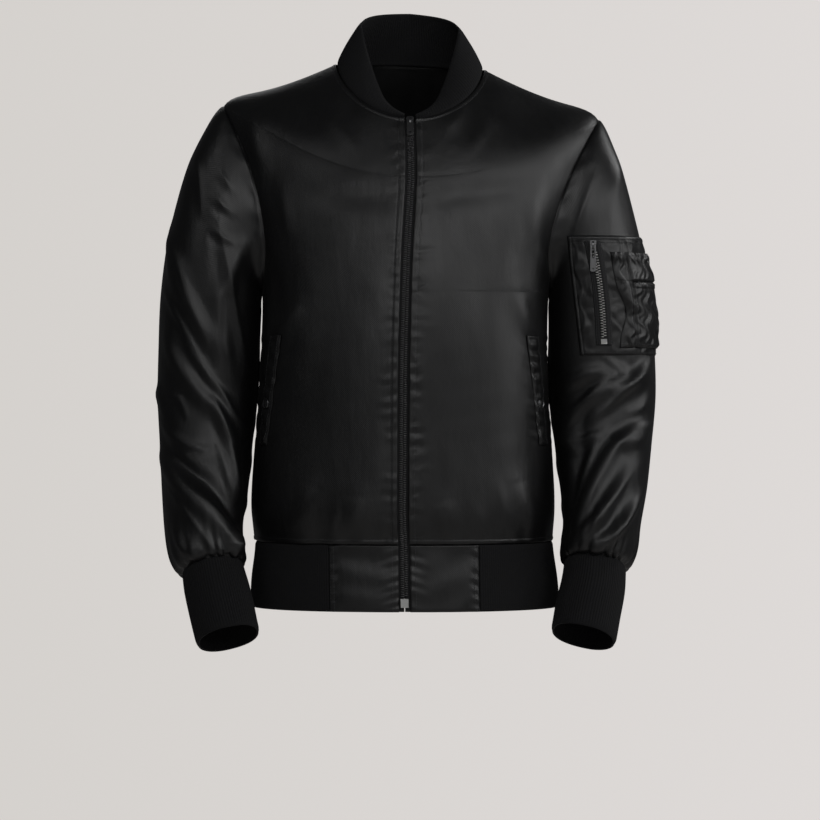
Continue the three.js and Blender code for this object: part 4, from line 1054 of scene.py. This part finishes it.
def snapMesh(side):
    low, high = (np.array(corner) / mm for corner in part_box("pocket_snap_" + side))
    turn = welt["topTurn"] + (welt["bottomTurn"] - welt["topTurn"]) * welt["snapDown"] + welt["across"] * welt["snapAcross"]
    ring = bodyRingAt(turn, (low[2] + high[2]) / 2)
    centre, normal = onBody(mirrorOf(side) * turn, ring, welt["lift"] + 0.4)
    sideways = unit(np.cross([0, 0, 1.0], normal))
    upward = np.cross(normal, sideways)
    angles = np.linspace(0, 2 * math.pi, 40, endpoint=False)
    rows = [centre + normal * (height - 1.2) + radius * (np.cos(angles)[:, None] * sideways + np.sin(angles)[:, None] * upward)
            for radius, height in snapProfile[::-1]]
    points = np.array(rows)
    obj = gridMesh("pocket_snap_" + side + "_cap", points, clothLengths(points), darkMetal, closed=True)
    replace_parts(obj, "pocket_snap_" + side)
    return obj


# Pocket on the left sleeve, with its zip and the pen pocket over it
pocket = {
    "topX": 187, "bottomX": 203, "toTurn": -7.5, "top": -207, "bottom": -349, "lift": 2.6,
    "rows": 100, "columns": 112, "wrinkle": 1.3, "flat": (0.125, 0.146),
    "zipTurnTop": 90.5, "zipTurnBottom": 90.5, "zipTop": -214, "zipBottom": -337, "tapeWidth": 15,
    "penFrom": 76, "penTo": 4, "penTop": -262, "penBottom": -340, "penSeam": 59, "penPinch": 9,
    "penLift": 4.4, "penRise": 2.2, "penFlat": (0.088, 0.084),
    "flapTop": -227, "flapBottom": -261, "flapFlat": (0.082, 0.032), "tapeFlat": (0.0155, 0.125),
}


sleeveGrid = {"turns": np.arange(-16, 182, 2.0), "rings": np.linspace(0.6, 9, 127)}
sleeveGrid["points"] = sleeveForm("left", sleeveGrid["turns"][:, None], sleeveGrid["rings"][None, :])


def heightOnSleeve(turn, ring):
    # read between the grid's points
    turns, rings, points = sleeveGrid["turns"], sleeveGrid["rings"], sleeveGrid["points"][..., 2]
    across = np.clip((turn - turns[0]) / (turns[1] - turns[0]), 0, len(turns) - 1.001)
    along = np.clip((ring - rings[0]) / (rings[1] - rings[0]), 0, len(rings) - 1.001)
    i, j = across.astype(int), along.astype(int)
    a, b = across - i, along - j
    return ((1 - a) * (1 - b) * points[i, j] + a * (1 - b) * points[i + 1, j]
            + (1 - a) * b * points[i, j + 1] + a * b * points[i + 1, j + 1])


def sleevePlace(turn, height, lift):
    turn, height = np.broadcast_arrays(np.asarray(turn, float), np.asarray(height, float))
    ring = search(0.6, 9, lambda r: heightOnSleeve(turn, r) > height, turn.shape)
    return onSleeve("left", turn, ring, lift)[0]


def sleeveTurnAt(x, height):
    return search(5, 175, lambda turn: sleevePlace(turn, height, 0)[..., 0] > x, np.shape(height), 12)


def sleevePiece(name, nodeName, turns, heights, lift, stitches=(), finish=None, seam=None):
    turns, heights = np.broadcast_arrays(turns, heights)
    points = sleevePlace(turns, heights, lift)
    for edge, distance in stitches:
        axis = 1 if edge in ("inner", "outer") else 0
        away = edgeDistance(points, axis)[0 if edge in ("inner", "bottom") else 1]
        stitchAlong(points, away, distance, axis, "sleeve", 1)
    if seam is not None:
        stitchPath(points[:, seam + 2], gridNormals(points)[:, seam + 2], "sleeve")
    obj = gridMesh(name, points, clothLengths(points), finish or satin, thickness=0.9)
    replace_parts(obj, nodeName)
    return obj


def wrinkles(turns, heights, seed):
    # crumpled cloth: soft dents, with thin raised lines where they meet
    around = -np.radians(turns) * sleeve["radius"]
    around = around + 3 * waves(heights, around, seed + 3, 3, 40, 18)
    broad = waves(around * 1.2, heights * 0.6, seed, 6, 42, 16)
    lines = np.exp(-(waves(around * 1.1, heights * 0.5, seed + 1, 4, 46, 20) / 0.34) ** 2)
    fine = waves(around, heights * 0.7, seed + 2, 5, 14, 7)
    return 0.6 * broad + 0.75 * lines + 0.28 * fine


def sleevePocketCloth():
    p = pocket
    heights = np.linspace(p["bottom"], p["top"], p["rows"])[:, None]
    down = (p["top"] - heights) / (p["top"] - p["bottom"])
    edgeTurn = sleeveTurnAt(p["topX"] + (p["bottomX"] - p["topX"]) * down, heights)
    across = crowded(p["columns"], 150, ((1.5, 5), (1, 5)))[None, :]
    turns = edgeTurn + (p["toTurn"] - edgeTurn) * across
    plain = sleevePlace(turns, np.broadcast_to(heights, turns.shape), 0)
    fromInner, fromOuter = edgeDistance(plain)
    fromBottom, fromTop = edgeDistance(plain, 0)
    edge = np.minimum(np.minimum(fromInner, fromOuter), np.minimum(fromBottom, fromTop))
    ripple = p["wrinkle"] * wrinkles(turns, heights, 81)
    zipAway = np.abs(turns - (p["zipTurnTop"] + (p["zipTurnBottom"] - p["zipTurnTop"]) * down))
    calm = smooth(edge, 1, 9) * (1 - 0.85 * np.exp(-(zipAway / 9) ** 2))
    hem = turnedEdge(fromTop, 4.4) + 0.5 * turnedEdge(fromTop, 8.6) + turnedEdge(fromInner, 4)
    lift = p["lift"] - 1.3 * np.exp(-(edge / 1.4) ** 2) + ripple * calm * 0.8 + hem
    return sleevePiece("sleeve_pocket_cloth", "sleeve_pocket", turns, heights, lift,
                       (("inner", 4.6), ("top", 5), ("top", 9.2), ("bottom", 3.2)))


def zipTurn(height):
    p = pocket
    part = (height - p["zipTop"]) / (p["zipBottom"] - p["zipTop"])
    return p["zipTurnTop"] + (p["zipTurnBottom"] - p["zipTurnTop"]) * part


def sleeveTape():
    p = pocket
    heights = np.linspace(p["zipBottom"], p["zipTop"], 70)[:, None]
    across = np.linspace(1, -1, 22)[None, :]
    turns = zipTurn(heights) + math.degrees(p["tapeWidth"] / 2 / sleeve["radius"]) * across
    lift = p["lift"] + 2.1 + 0.4 * np.exp(-((np.abs(across) - 0.55) / 0.12) ** 2) - 1.1 * np.abs(across) ** 6
    return sleevePiece("sleeve_zip_tape_cloth", "sleeve_zip_tape", turns, heights, lift,
                       (("inner", 1.6), ("outer", 1.6)), tape)


def penGrid(heights, columns=96, gussetColumns=24):
    # the gusset's edge is pinched half way down; its seam is always the same column
    p = pocket
    up = heights - p["penBottom"]
    edge = p["penFrom"] - p["penPinch"] * np.exp(-((up - 42) / 22) ** 2)
    gusset = np.linspace(0, 1, gussetColumns)[None, :]
    face = np.linspace(0, 1, columns - gussetColumns + 1)[None, 1:]
    onGusset = edge + (p["penSeam"] - edge) * gusset
    onFace = p["penSeam"] + (p["penTo"] - p["penSeam"]) * face + 0 * heights
    turns = np.concatenate([onGusset, onFace], 1)
    return turns, np.broadcast_to(heights, turns.shape), edge


def penRise(turns, heights, edge):
    # one swollen form from the top strip to the bottom; the gusset slants down to its edge
    p = pocket
    up = heights - p["penBottom"]
    down = p["flapTop"] - heights
    toSide = np.minimum(edge - turns, turns - p["penTo"]) * 1.05
    share = np.sin(math.pi / 2 * np.clip(np.minimum(toSide / 11, np.minimum((up + 1) / 6, (down + 2) / 12)), 0, 1))
    swell = share * (1 + p["penRise"] * smooth(down, 2, 45) + 1.6 * np.sin(math.pi * np.clip(up / 100, 0, 1)))
    seam = -2.0 * np.exp(-((turns - p["penSeam"]) / 1.5) ** 2) + 0.5 * np.exp(-((turns - p["penSeam"] + 3.5) / 1.6) ** 2)
    return p["penLift"] - 0.8 + swell + seam + 1.25 * wrinkles(turns, heights, 91) * share


def penPocket():
    p = pocket
    heights = np.append(np.linspace(p["penBottom"], p["penTop"], 78), p["penTop"] + np.array([1.2, 5]))[:, None]
    turns, heights, edge = penGrid(heights)
    toTop = p["penTop"] - heights
    face = 1 - smooth(turns, p["penSeam"] - 2, p["penSeam"])
    slot = turnedEdge(np.maximum(toTop, 0), 7) * (toTop > -1) - 2.0 * np.exp(-(np.maximum(toTop, 0) / 1.3) ** 2)
    lift = penRise(turns, heights, edge) + slot * face - 1.4 * (toTop < -3)
    return sleevePiece("pen_pocket_cloth", "pen_pocket", turns, heights, lift,
                       (("bottom", 5),), seam=24)


def penFlap():
    p = pocket
    heights = np.linspace(p["flapBottom"], p["flapTop"], 44)[:, None]
    turns, heights, edge = penGrid(heights)
    up, down = heights - p["flapBottom"], p["flapTop"] - heights
    face = 1 - smooth(turns, p["penSeam"] - 2, p["penSeam"])
    peaks = 1.8 * np.abs(waves(-np.radians(turns) * 60, 0 * turns, 93, 4, 20, 10)) * np.exp(-((down - 5) / 6) ** 2)
    lift = penRise(turns, heights, edge) + peaks + (0.5 - 1.4 * np.exp(-(up / 1.2) ** 2)) * face + 0.1
    return sleevePiece("pen_pocket_top_cloth", "pen_pocket_top", turns, heights, lift,
                       (("top", 4), ("bottom", 2.4)), seam=24)


for side in ("right", "left"):
    weltCloth(side)
    snapMesh(side)
sleevePocketCloth()
sleeveTape()
penPocket()
penFlap()
print("pockets made")

# Zips: each tooth is a small rounded block, the two rows half a pitch apart
frontZip = {
    "pitch": 2.6, "toothWidth": 4.6, "toothHeight": 1.2, "toothDepth": 2.2, "toothInner": -0.35,
    "tapeFrom": 0.4, "tapeTo": 15.5, "tapeLift": -3.3, "tapeFlat": (0.0152, 0.59),
    "tabWidth": 7.2, "tabLength": 20.6, "tabThickness": 1.2, "sliderWidth": 8.6,
    "slots": ((-5.2, 2.6, 3.0), (-16.6, 3.4, 2.2)),
}
sleeveZip = {
    "pitch": 3.2, "toothWidth": 3.6, "toothHeight": 1.45, "toothDepth": 2.4, "toothInner": -0.3,
    "tabWidth": 6.6, "tabLength": 32.4, "tabThickness": 1.2, "sliderWidth": 7.4,
    "slots": ((-10.5, 3.4, 11.5), (-29.2, 1.8, 1.8)),
}


def roundedBlock(width, depth, height, columns=8, rows=5, square=0.45):
    shape = []
    for r in range(rows):
        up = math.pi * (r + 0.5) / rows - math.pi / 2
        for c in range(columns):
            around = 2 * math.pi * (c + 0.5) / columns
            power = lambda value: math.copysign(abs(value) ** square, value)
            shape.append((power(math.cos(up)) * power(math.cos(around)) * width / 2,
                          power(math.cos(up)) * power(math.sin(around)) * depth / 2, power(math.sin(up)) * height / 2))
    faces = [[r * columns + c, r * columns + (c + 1) % columns, (r + 1) * columns + (c + 1) % columns, (r + 1) * columns + c]
             for r in range(rows - 1) for c in range(columns)]
    faces += [list(range(columns))[::-1], list(range((rows - 1) * columns, rows * columns))]
    return shape, faces


def chainTeeth(name, nodeName, look, centres, across, finish):
    # the centres run up the chain; the teeth stand either side of them, half a pitch apart
    along = np.gradient(centres, axis=0)
    length = np.concatenate([[0], np.cumsum(np.linalg.norm(np.diff(centres, axis=0), axis=-1))])
    places = np.arange(look["pitch"] / 2, length[-1], look["pitch"] / 2)
    read = lambda values: np.stack([np.interp(places, length, values[:, k]) for k in range(3)], -1)
    centre, sideways, up = read(centres), unit(read(across)), unit(read(along))
    out = unit(np.cross(sideways, up))
    side = np.where(np.arange(len(places)) % 2, 1, -1)[:, None]
    centre = centre + sideways * side * (look["toothInner"] + look["toothWidth"] / 2)
    frames = np.stack([sideways, out, np.cross(sideways, out), centre], 1)
    block = roundedBlock(look["toothWidth"], look["toothDepth"], look["toothHeight"])
    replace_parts(manyParts(name, *block, frames, finish), nodeName)


def frontChain():
    low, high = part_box("zip_chain")
    heights = np.linspace(low[2] / mm, high[2] / mm, 160)
    centres = onBody(0 * heights, bodyRingAt(0 * heights, heights), -1.7)[0]
    chainTeeth("zip_teeth", "zip_chain", frontZip, centres, np.tile([1.0, 0, 0], (160, 1)), darkMetal)


def sleeveChain():
    low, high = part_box("sleeve_zip_chain")
    heights = np.linspace(low[2] / mm + 0.5, high[2] / mm - 0.5, 60)
    centres = sleevePlace(zipTurn(heights), heights, pocket["lift"] + 3.6)
    beside = sleevePlace(zipTurn(heights) - 4, heights, pocket["lift"] + 3.6)
    # the sleeve zip's teeth take the brighter copy of the dark metal, a painted highlight
    chainTeeth("sleeve_zip_teeth", "sleeve_zip_chain", sleeveZip, centres, beside - centres, paintedHighlightTeeth)


def frontTape(side):
    mirror = mirrorOf(side)
    low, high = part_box("zip_tape_" + side)
    rings = bodyRingAt(np.zeros(220), np.linspace(low[2] / mm + 0.3, high[2] / mm - 0.3, 220))[:, None]
    across = np.linspace(0, 1, 14)[None, :]
    start = bodyTurnAt(frontZip["tapeFrom"], rings)
    turns = start + (bodyTurnAt(frontZip["tapeTo"], rings) - start) * across
    lift = frontZip["tapeLift"] + 0.35 * np.exp(-((across - 0.2) / 0.09) ** 2)
    points = onBody(mirror * turns, np.broadcast_to(rings, turns.shape), lift)[0]
    if side == "right":
        points = points[:, ::-1]
    obj = gridMesh("zip_tape_" + side + "_cloth", points, clothLengths(points), tape, thickness=0.6)
    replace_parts(obj, "zip_tape_" + side)


def plateShape(outline, holes, thickness, bevel):
    # a flat plate with holes and softened edges
    curve = bpy.data.curves.new("outline", "CURVE")
    curve.dimensions, curve.fill_mode = "2D", "BOTH"
    curve.extrude, curve.bevel_depth, curve.bevel_resolution = thickness / 2 - bevel, bevel, 2
    for corners in [outline] + holes:
        spline = curve.splines.new("POLY")
        spline.points.add(len(corners) - 1)
        for point, (x, y) in zip(spline.points, corners):
            point.co = (x, y, 0, 1)
        spline.use_cyclic_u = True
    obj = bpy.data.objects.new("outline", curve)
    bpy.context.scene.collection.objects.link(obj)
    mesh = bpy.data.meshes.new_from_object(obj.evaluated_get(bpy.context.evaluated_depsgraph_get()))
    shape = [tuple(v.co) for v in mesh.vertices]
    faces = [list(f.vertices) for f in mesh.polygons]
    bpy.data.objects.remove(obj)
    bpy.data.curves.remove(curve)
    bpy.data.meshes.remove(mesh)
    return shape, faces


def roundedOutline(topWidth, bottomWidth, top, bottom, radius, steps=7):
    corners = [(topWidth / 2, top, 0), (-topWidth / 2, top, 90),
               (-bottomWidth / 2, bottom, 180), (bottomWidth / 2, bottom, 270)]
    points = []
    for x, y, start in corners:
        centre = (x - math.copysign(radius, x), y - math.copysign(radius, y - (top + bottom) / 2))
        for k in range(steps):
            angle = math.radians(start + 90 * k / (steps - 1))
            points.append((centre[0] + radius * math.cos(angle), centre[1] + radius * math.sin(angle)))
    return points


def bridgeShape(length, height, width, thickness, steps=18):
    # the arch over the slider that the tab hangs on
    rows = []
    for k in range(steps):
        angle = math.pi * k / (steps - 1)
        y, z = length / 2 * math.cos(angle), height * math.sin(angle) ** 0.7
        inner = (y * 0.84, max(z - thickness, -0.3))
        rows.append([(-width / 2, y, z), (width / 2, y, z), (width / 2, *inner), (-width / 2, *inner)])
    faces = [[4 * r + c, 4 * r + (c + 1) % 4, 4 * r + 4 + (c + 1) % 4, 4 * r + 4 + c]
             for r in range(steps - 1) for c in range(4)]
    faces += [[3, 2, 1, 0], [4 * steps - 4, 4 * steps - 3, 4 * steps - 2, 4 * steps - 1]]
    return [point for row in rows for point in row], faces


def metalPiece(name, nodeName, bodyName, parts, origin, axes):
    # each part is (shape, faces, how far out it stands)
    points, faces = [], []
    for shape, own, stand in parts:
        faces += [[v + len(points) for v in face] for face in own]
        points += [tuple(origin + axes.T @ (np.array(point, float) + [0, 0, stand])) for point in shape]
    mesh = bpy.data.meshes.new(name)
    mesh.from_pydata((np.array(points) * mm).tolist(), [], faces)
    mesh.polygons.foreach_set("use_smooth", np.ones(len(faces), bool))
    mesh.set_sharp_from_angle(angle=math.radians(35))
    obj = finishMesh(name, mesh, darkMetal, 0, bodyName)
    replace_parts(obj, nodeName)
    return obj


def zipPull(look, prefix):
    # the joint gives the hinge and the tab's box the way that it hangs
    joint = next(j for j in frame["joints"] if j["child"] == prefix + "_pull")
    hinge = np.array(joint["pos_m"]) / mm
    sideways = -unit(np.array(joint["axis"], float))
    low, high = (np.array(corner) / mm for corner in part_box(prefix + "_pull"))
    up = hinge - (low + high) / 2
    up = unit(up - sideways * (up @ sideways))
    out = np.cross(sideways, up)
    axes = np.stack([sideways, up, out])
    width, length = look["tabWidth"], look["tabLength"]
    outline = roundedOutline(width * 0.94, width, 0.6, -length, 1.5)
    holes = [roundedOutline(slotWidth, slotWidth, y + slotLength / 2, y - slotLength / 2, min(slotWidth, slotLength) * 0.35, 5)
             for y, slotWidth, slotLength in look["slots"]]
    ring = roundedOutline(3.0, 3.0, -0.6, -2.6, 0.7, 5)
    tab = plateShape(outline, holes + [ring], look["tabThickness"], 0.3)
    metalPiece(prefix + "_pull_tab", prefix + "_pull", prefix + "_pull", [(*tab, 0)], hinge, axes)
    wide = look["sliderWidth"]
    plate = plateShape(roundedOutline(wide, wide * 0.74, 6, -6, 2.4), [], 1.3, 0.35)
    under = plateShape(roundedOutline(wide * 0.94, wide * 0.7, 5.7, -5.7, 2.2), [], 1.0, 0.3)
    bridge = bridgeShape(9.4, 3.6, 2.3, 0.9)
    metalPiece(prefix + "_slider_body", prefix + "_slider", "root", [(*plate, 0.4), (*under, -0.6), (*bridge, 0.9)],
               hinge - out * 2 - up * 1.2, axes)


for side in ("right", "left"):
    frontTape(side)
frontChain()
sleeveChain()
zipPull(frontZip, "zip")
zipPull(sleeveZip, "sleeve_zip")
for group, frames in stitchFrames.items():
    one = capsule(stitch["length"], stitch["radius"], stitch["sides"])
    manyParts("stitches_" + group, *one, np.concatenate(frames), thread)
print("zips and stitches made")

# Nodes that keep their solid take the finer finish of their slot
finishOfSlot = {
    "satin": satin, "rib": rib, "zip_tape": tape, "dark_metal": darkMetal, "silver_metal": silver,
}
slotOfNode = {row["node"]: row["material_slot"] for row in frame["record"]["subparts"]}
for name, slot in slotOfNode.items():
    node = bpy.data.objects.get(name)
    if node and node.type == "MESH":
        for place in node.material_slots:
            place.material = finishOfSlot[slot]["material"]

# Studio: pale floor, soft lights, and a grey backdrop with painted shade, darker towards the left
studio = {
    "floorHeight": -1.45, "floorRadius": 2.4, "floorColour": (0.72, 0.7, 0.68),
    # the backdrop's two colours, darker at the left and lighter at the right: painted shade where the lamps fall off
    "backLeft": (0.665, 0.64, 0.615), "backRight": (0.73, 0.70, 0.685),
    "cameraDistance": 3.4, "cameraHeight": -0.414, "viewWidth": 0.992,
}


def areaLight(name, place, aim, size, power):
    light = bpy.data.lights.new(name, "AREA")
    light.shape = "RECTANGLE"
    light.size, light.size_y = size
    light.energy = power
    obj = bpy.data.objects.new(name, light)
    bpy.context.scene.collection.objects.link(obj)
    direction = np.array(place, float) - np.array(aim, float)
    yaw = math.atan2(direction[0], -direction[1])
    pitch = math.atan2(math.hypot(direction[0], direction[1]), direction[2])
    obj.location = place
    obj.rotation_euler = (pitch, 0, yaw)
    return obj


lights = [
    # name, place, aim, size, power
    ("chestKey", (1.0, -2.55, 0.95), (0.02, 0, -0.2), (3.3, 0.4), 19),
    ("rightKey", (1.9, -2.1, 0.4), (0.1, 0, -0.25), (0.9, 0.7), 4.5),
    ("sideKey", (2.6, -0.6, 0.3), (0.15, 0, -0.25), (1.1, 0.7), 10),
    ("rightFar", (2.4, -1.4, -0.1), (0.2, 0, -0.3), (0.7, 0.9), 2.4),
    ("rimRight", (1.9, 0.6, 0.95), (0.25, 0, -0.12), (0.7, 0.6), 8),
    ("leftKey", (-1.9, -2.1, 0.6), (-0.15, 0, -0.2), (0.9, 0.7), 2.4),
    ("leftHigh", (-1.2, -1.8, 1.6), (-0.15, 0, -0.1), (0.8, 0.5), 2.8),
    ("frontCentre", (0, -3, 0.4), (0, 0, -0.25), (0.6, 0.6), 3.2),
    ("bandLight", (0.2, -2.8, -0.9), (0.02, 0, -0.6), (2.4, 0.25), 2.2),
    ("behind", (-0.3, 2.4, 1.2), (0, 0, -0.3), (1.6, 1.2), 4.8),
]
for name, place, aim, size, power in lights:
    areaLight(name, place, aim, size, power)


def floorDisc():
    turns = np.linspace(0, 2 * math.pi, 96, endpoint=False)
    rim = np.stack([np.cos(turns), np.sin(turns), 0 * turns], -1) * studio["floorRadius"]
    mesh = bpy.data.meshes.new("floor")
    mesh.from_pydata((rim + [0, 0, studio["floorHeight"]]).tolist(), [], [list(range(96))])
    material, nodes, links, shader = newMaterial("paleFloor")
    place = nodes.new("ShaderNodeTexCoord")
    noise = textureAt(nodes, links, "ShaderNodeTexNoise", place.outputs["Object"], 3)
    shade = nodes.new("ShaderNodeMix")
    shade.data_type = "RGBA"
    shade.inputs[6].default_value = (*[c * 0.97 for c in studio["floorColour"]], 1)
    shade.inputs[7].default_value = (*studio["floorColour"], 1)
    links.new(noise.outputs["Fac"], shade.inputs[0])
    links.new(shade.outputs[2], shader.inputs["Base Color"])
    shader.inputs["Roughness"].default_value = 0.8
    mesh.materials.append(material)
    floor = bpy.data.objects.new("floor", mesh)
    bpy.context.scene.collection.objects.link(floor)


def backdrop():
    world = bpy.data.worlds.new("studio")
    bpy.context.scene.world = world
    world.use_nodes = True
    nodes, links = world.node_tree.nodes, world.node_tree.links
    shown = nodes["Background"]
    soft = nodes.new("ShaderNodeBackground")
    soft.inputs["Color"].default_value = (0.75, 0.76, 0.78, 1)
    soft.inputs["Strength"].default_value = 0.05
    place = nodes.new("ShaderNodeTexCoord")
    split = nodes.new("ShaderNodeSeparateXYZ")
    links.new(place.outputs["Generated"], split.inputs[0])
    spread = nodes.new("ShaderNodeMapRange")
    spread.inputs["From Min"].default_value, spread.inputs["From Max"].default_value = -0.15, 0.15
    links.new(split.outputs["X"], spread.inputs["Value"])
    # painted shade: the backdrop that the camera sees runs from the darker left colour to the lighter right one
    shade = nodes.new("ShaderNodeMix")
    shade.data_type = "RGBA"
    shade.inputs[6].default_value = (*studio["backLeft"], 1)
    shade.inputs[7].default_value = (*studio["backRight"], 1)
    links.new(spread.outputs["Result"], shade.inputs[0])
    links.new(shade.outputs[2], shown.inputs["Color"])
    ray = nodes.new("ShaderNodeLightPath")
    mix = nodes.new("ShaderNodeMixShader")
    links.new(ray.outputs["Is Camera Ray"], mix.inputs[0])
    links.new(soft.outputs[0], mix.inputs[1])
    links.new(shown.outputs[0], mix.inputs[2])
    links.new(mix.outputs[0], nodes["World Output"].inputs["Surface"])


def camera():
    data = bpy.data.cameras.new("camera")
    data.sensor_width = 36
    data.lens = 36 * studio["cameraDistance"] / studio["viewWidth"]
    obj = bpy.data.objects.new("camera", data)
    bpy.context.scene.collection.objects.link(obj)
    obj.location = (0, -studio["cameraDistance"], studio["cameraHeight"])
    obj.rotation_euler = (math.pi / 2, 0, 0)
    bpy.context.scene.camera = obj


floorDisc()
backdrop()
camera()
bpy.context.scene.view_settings.view_transform = "Standard"
print("studio made")
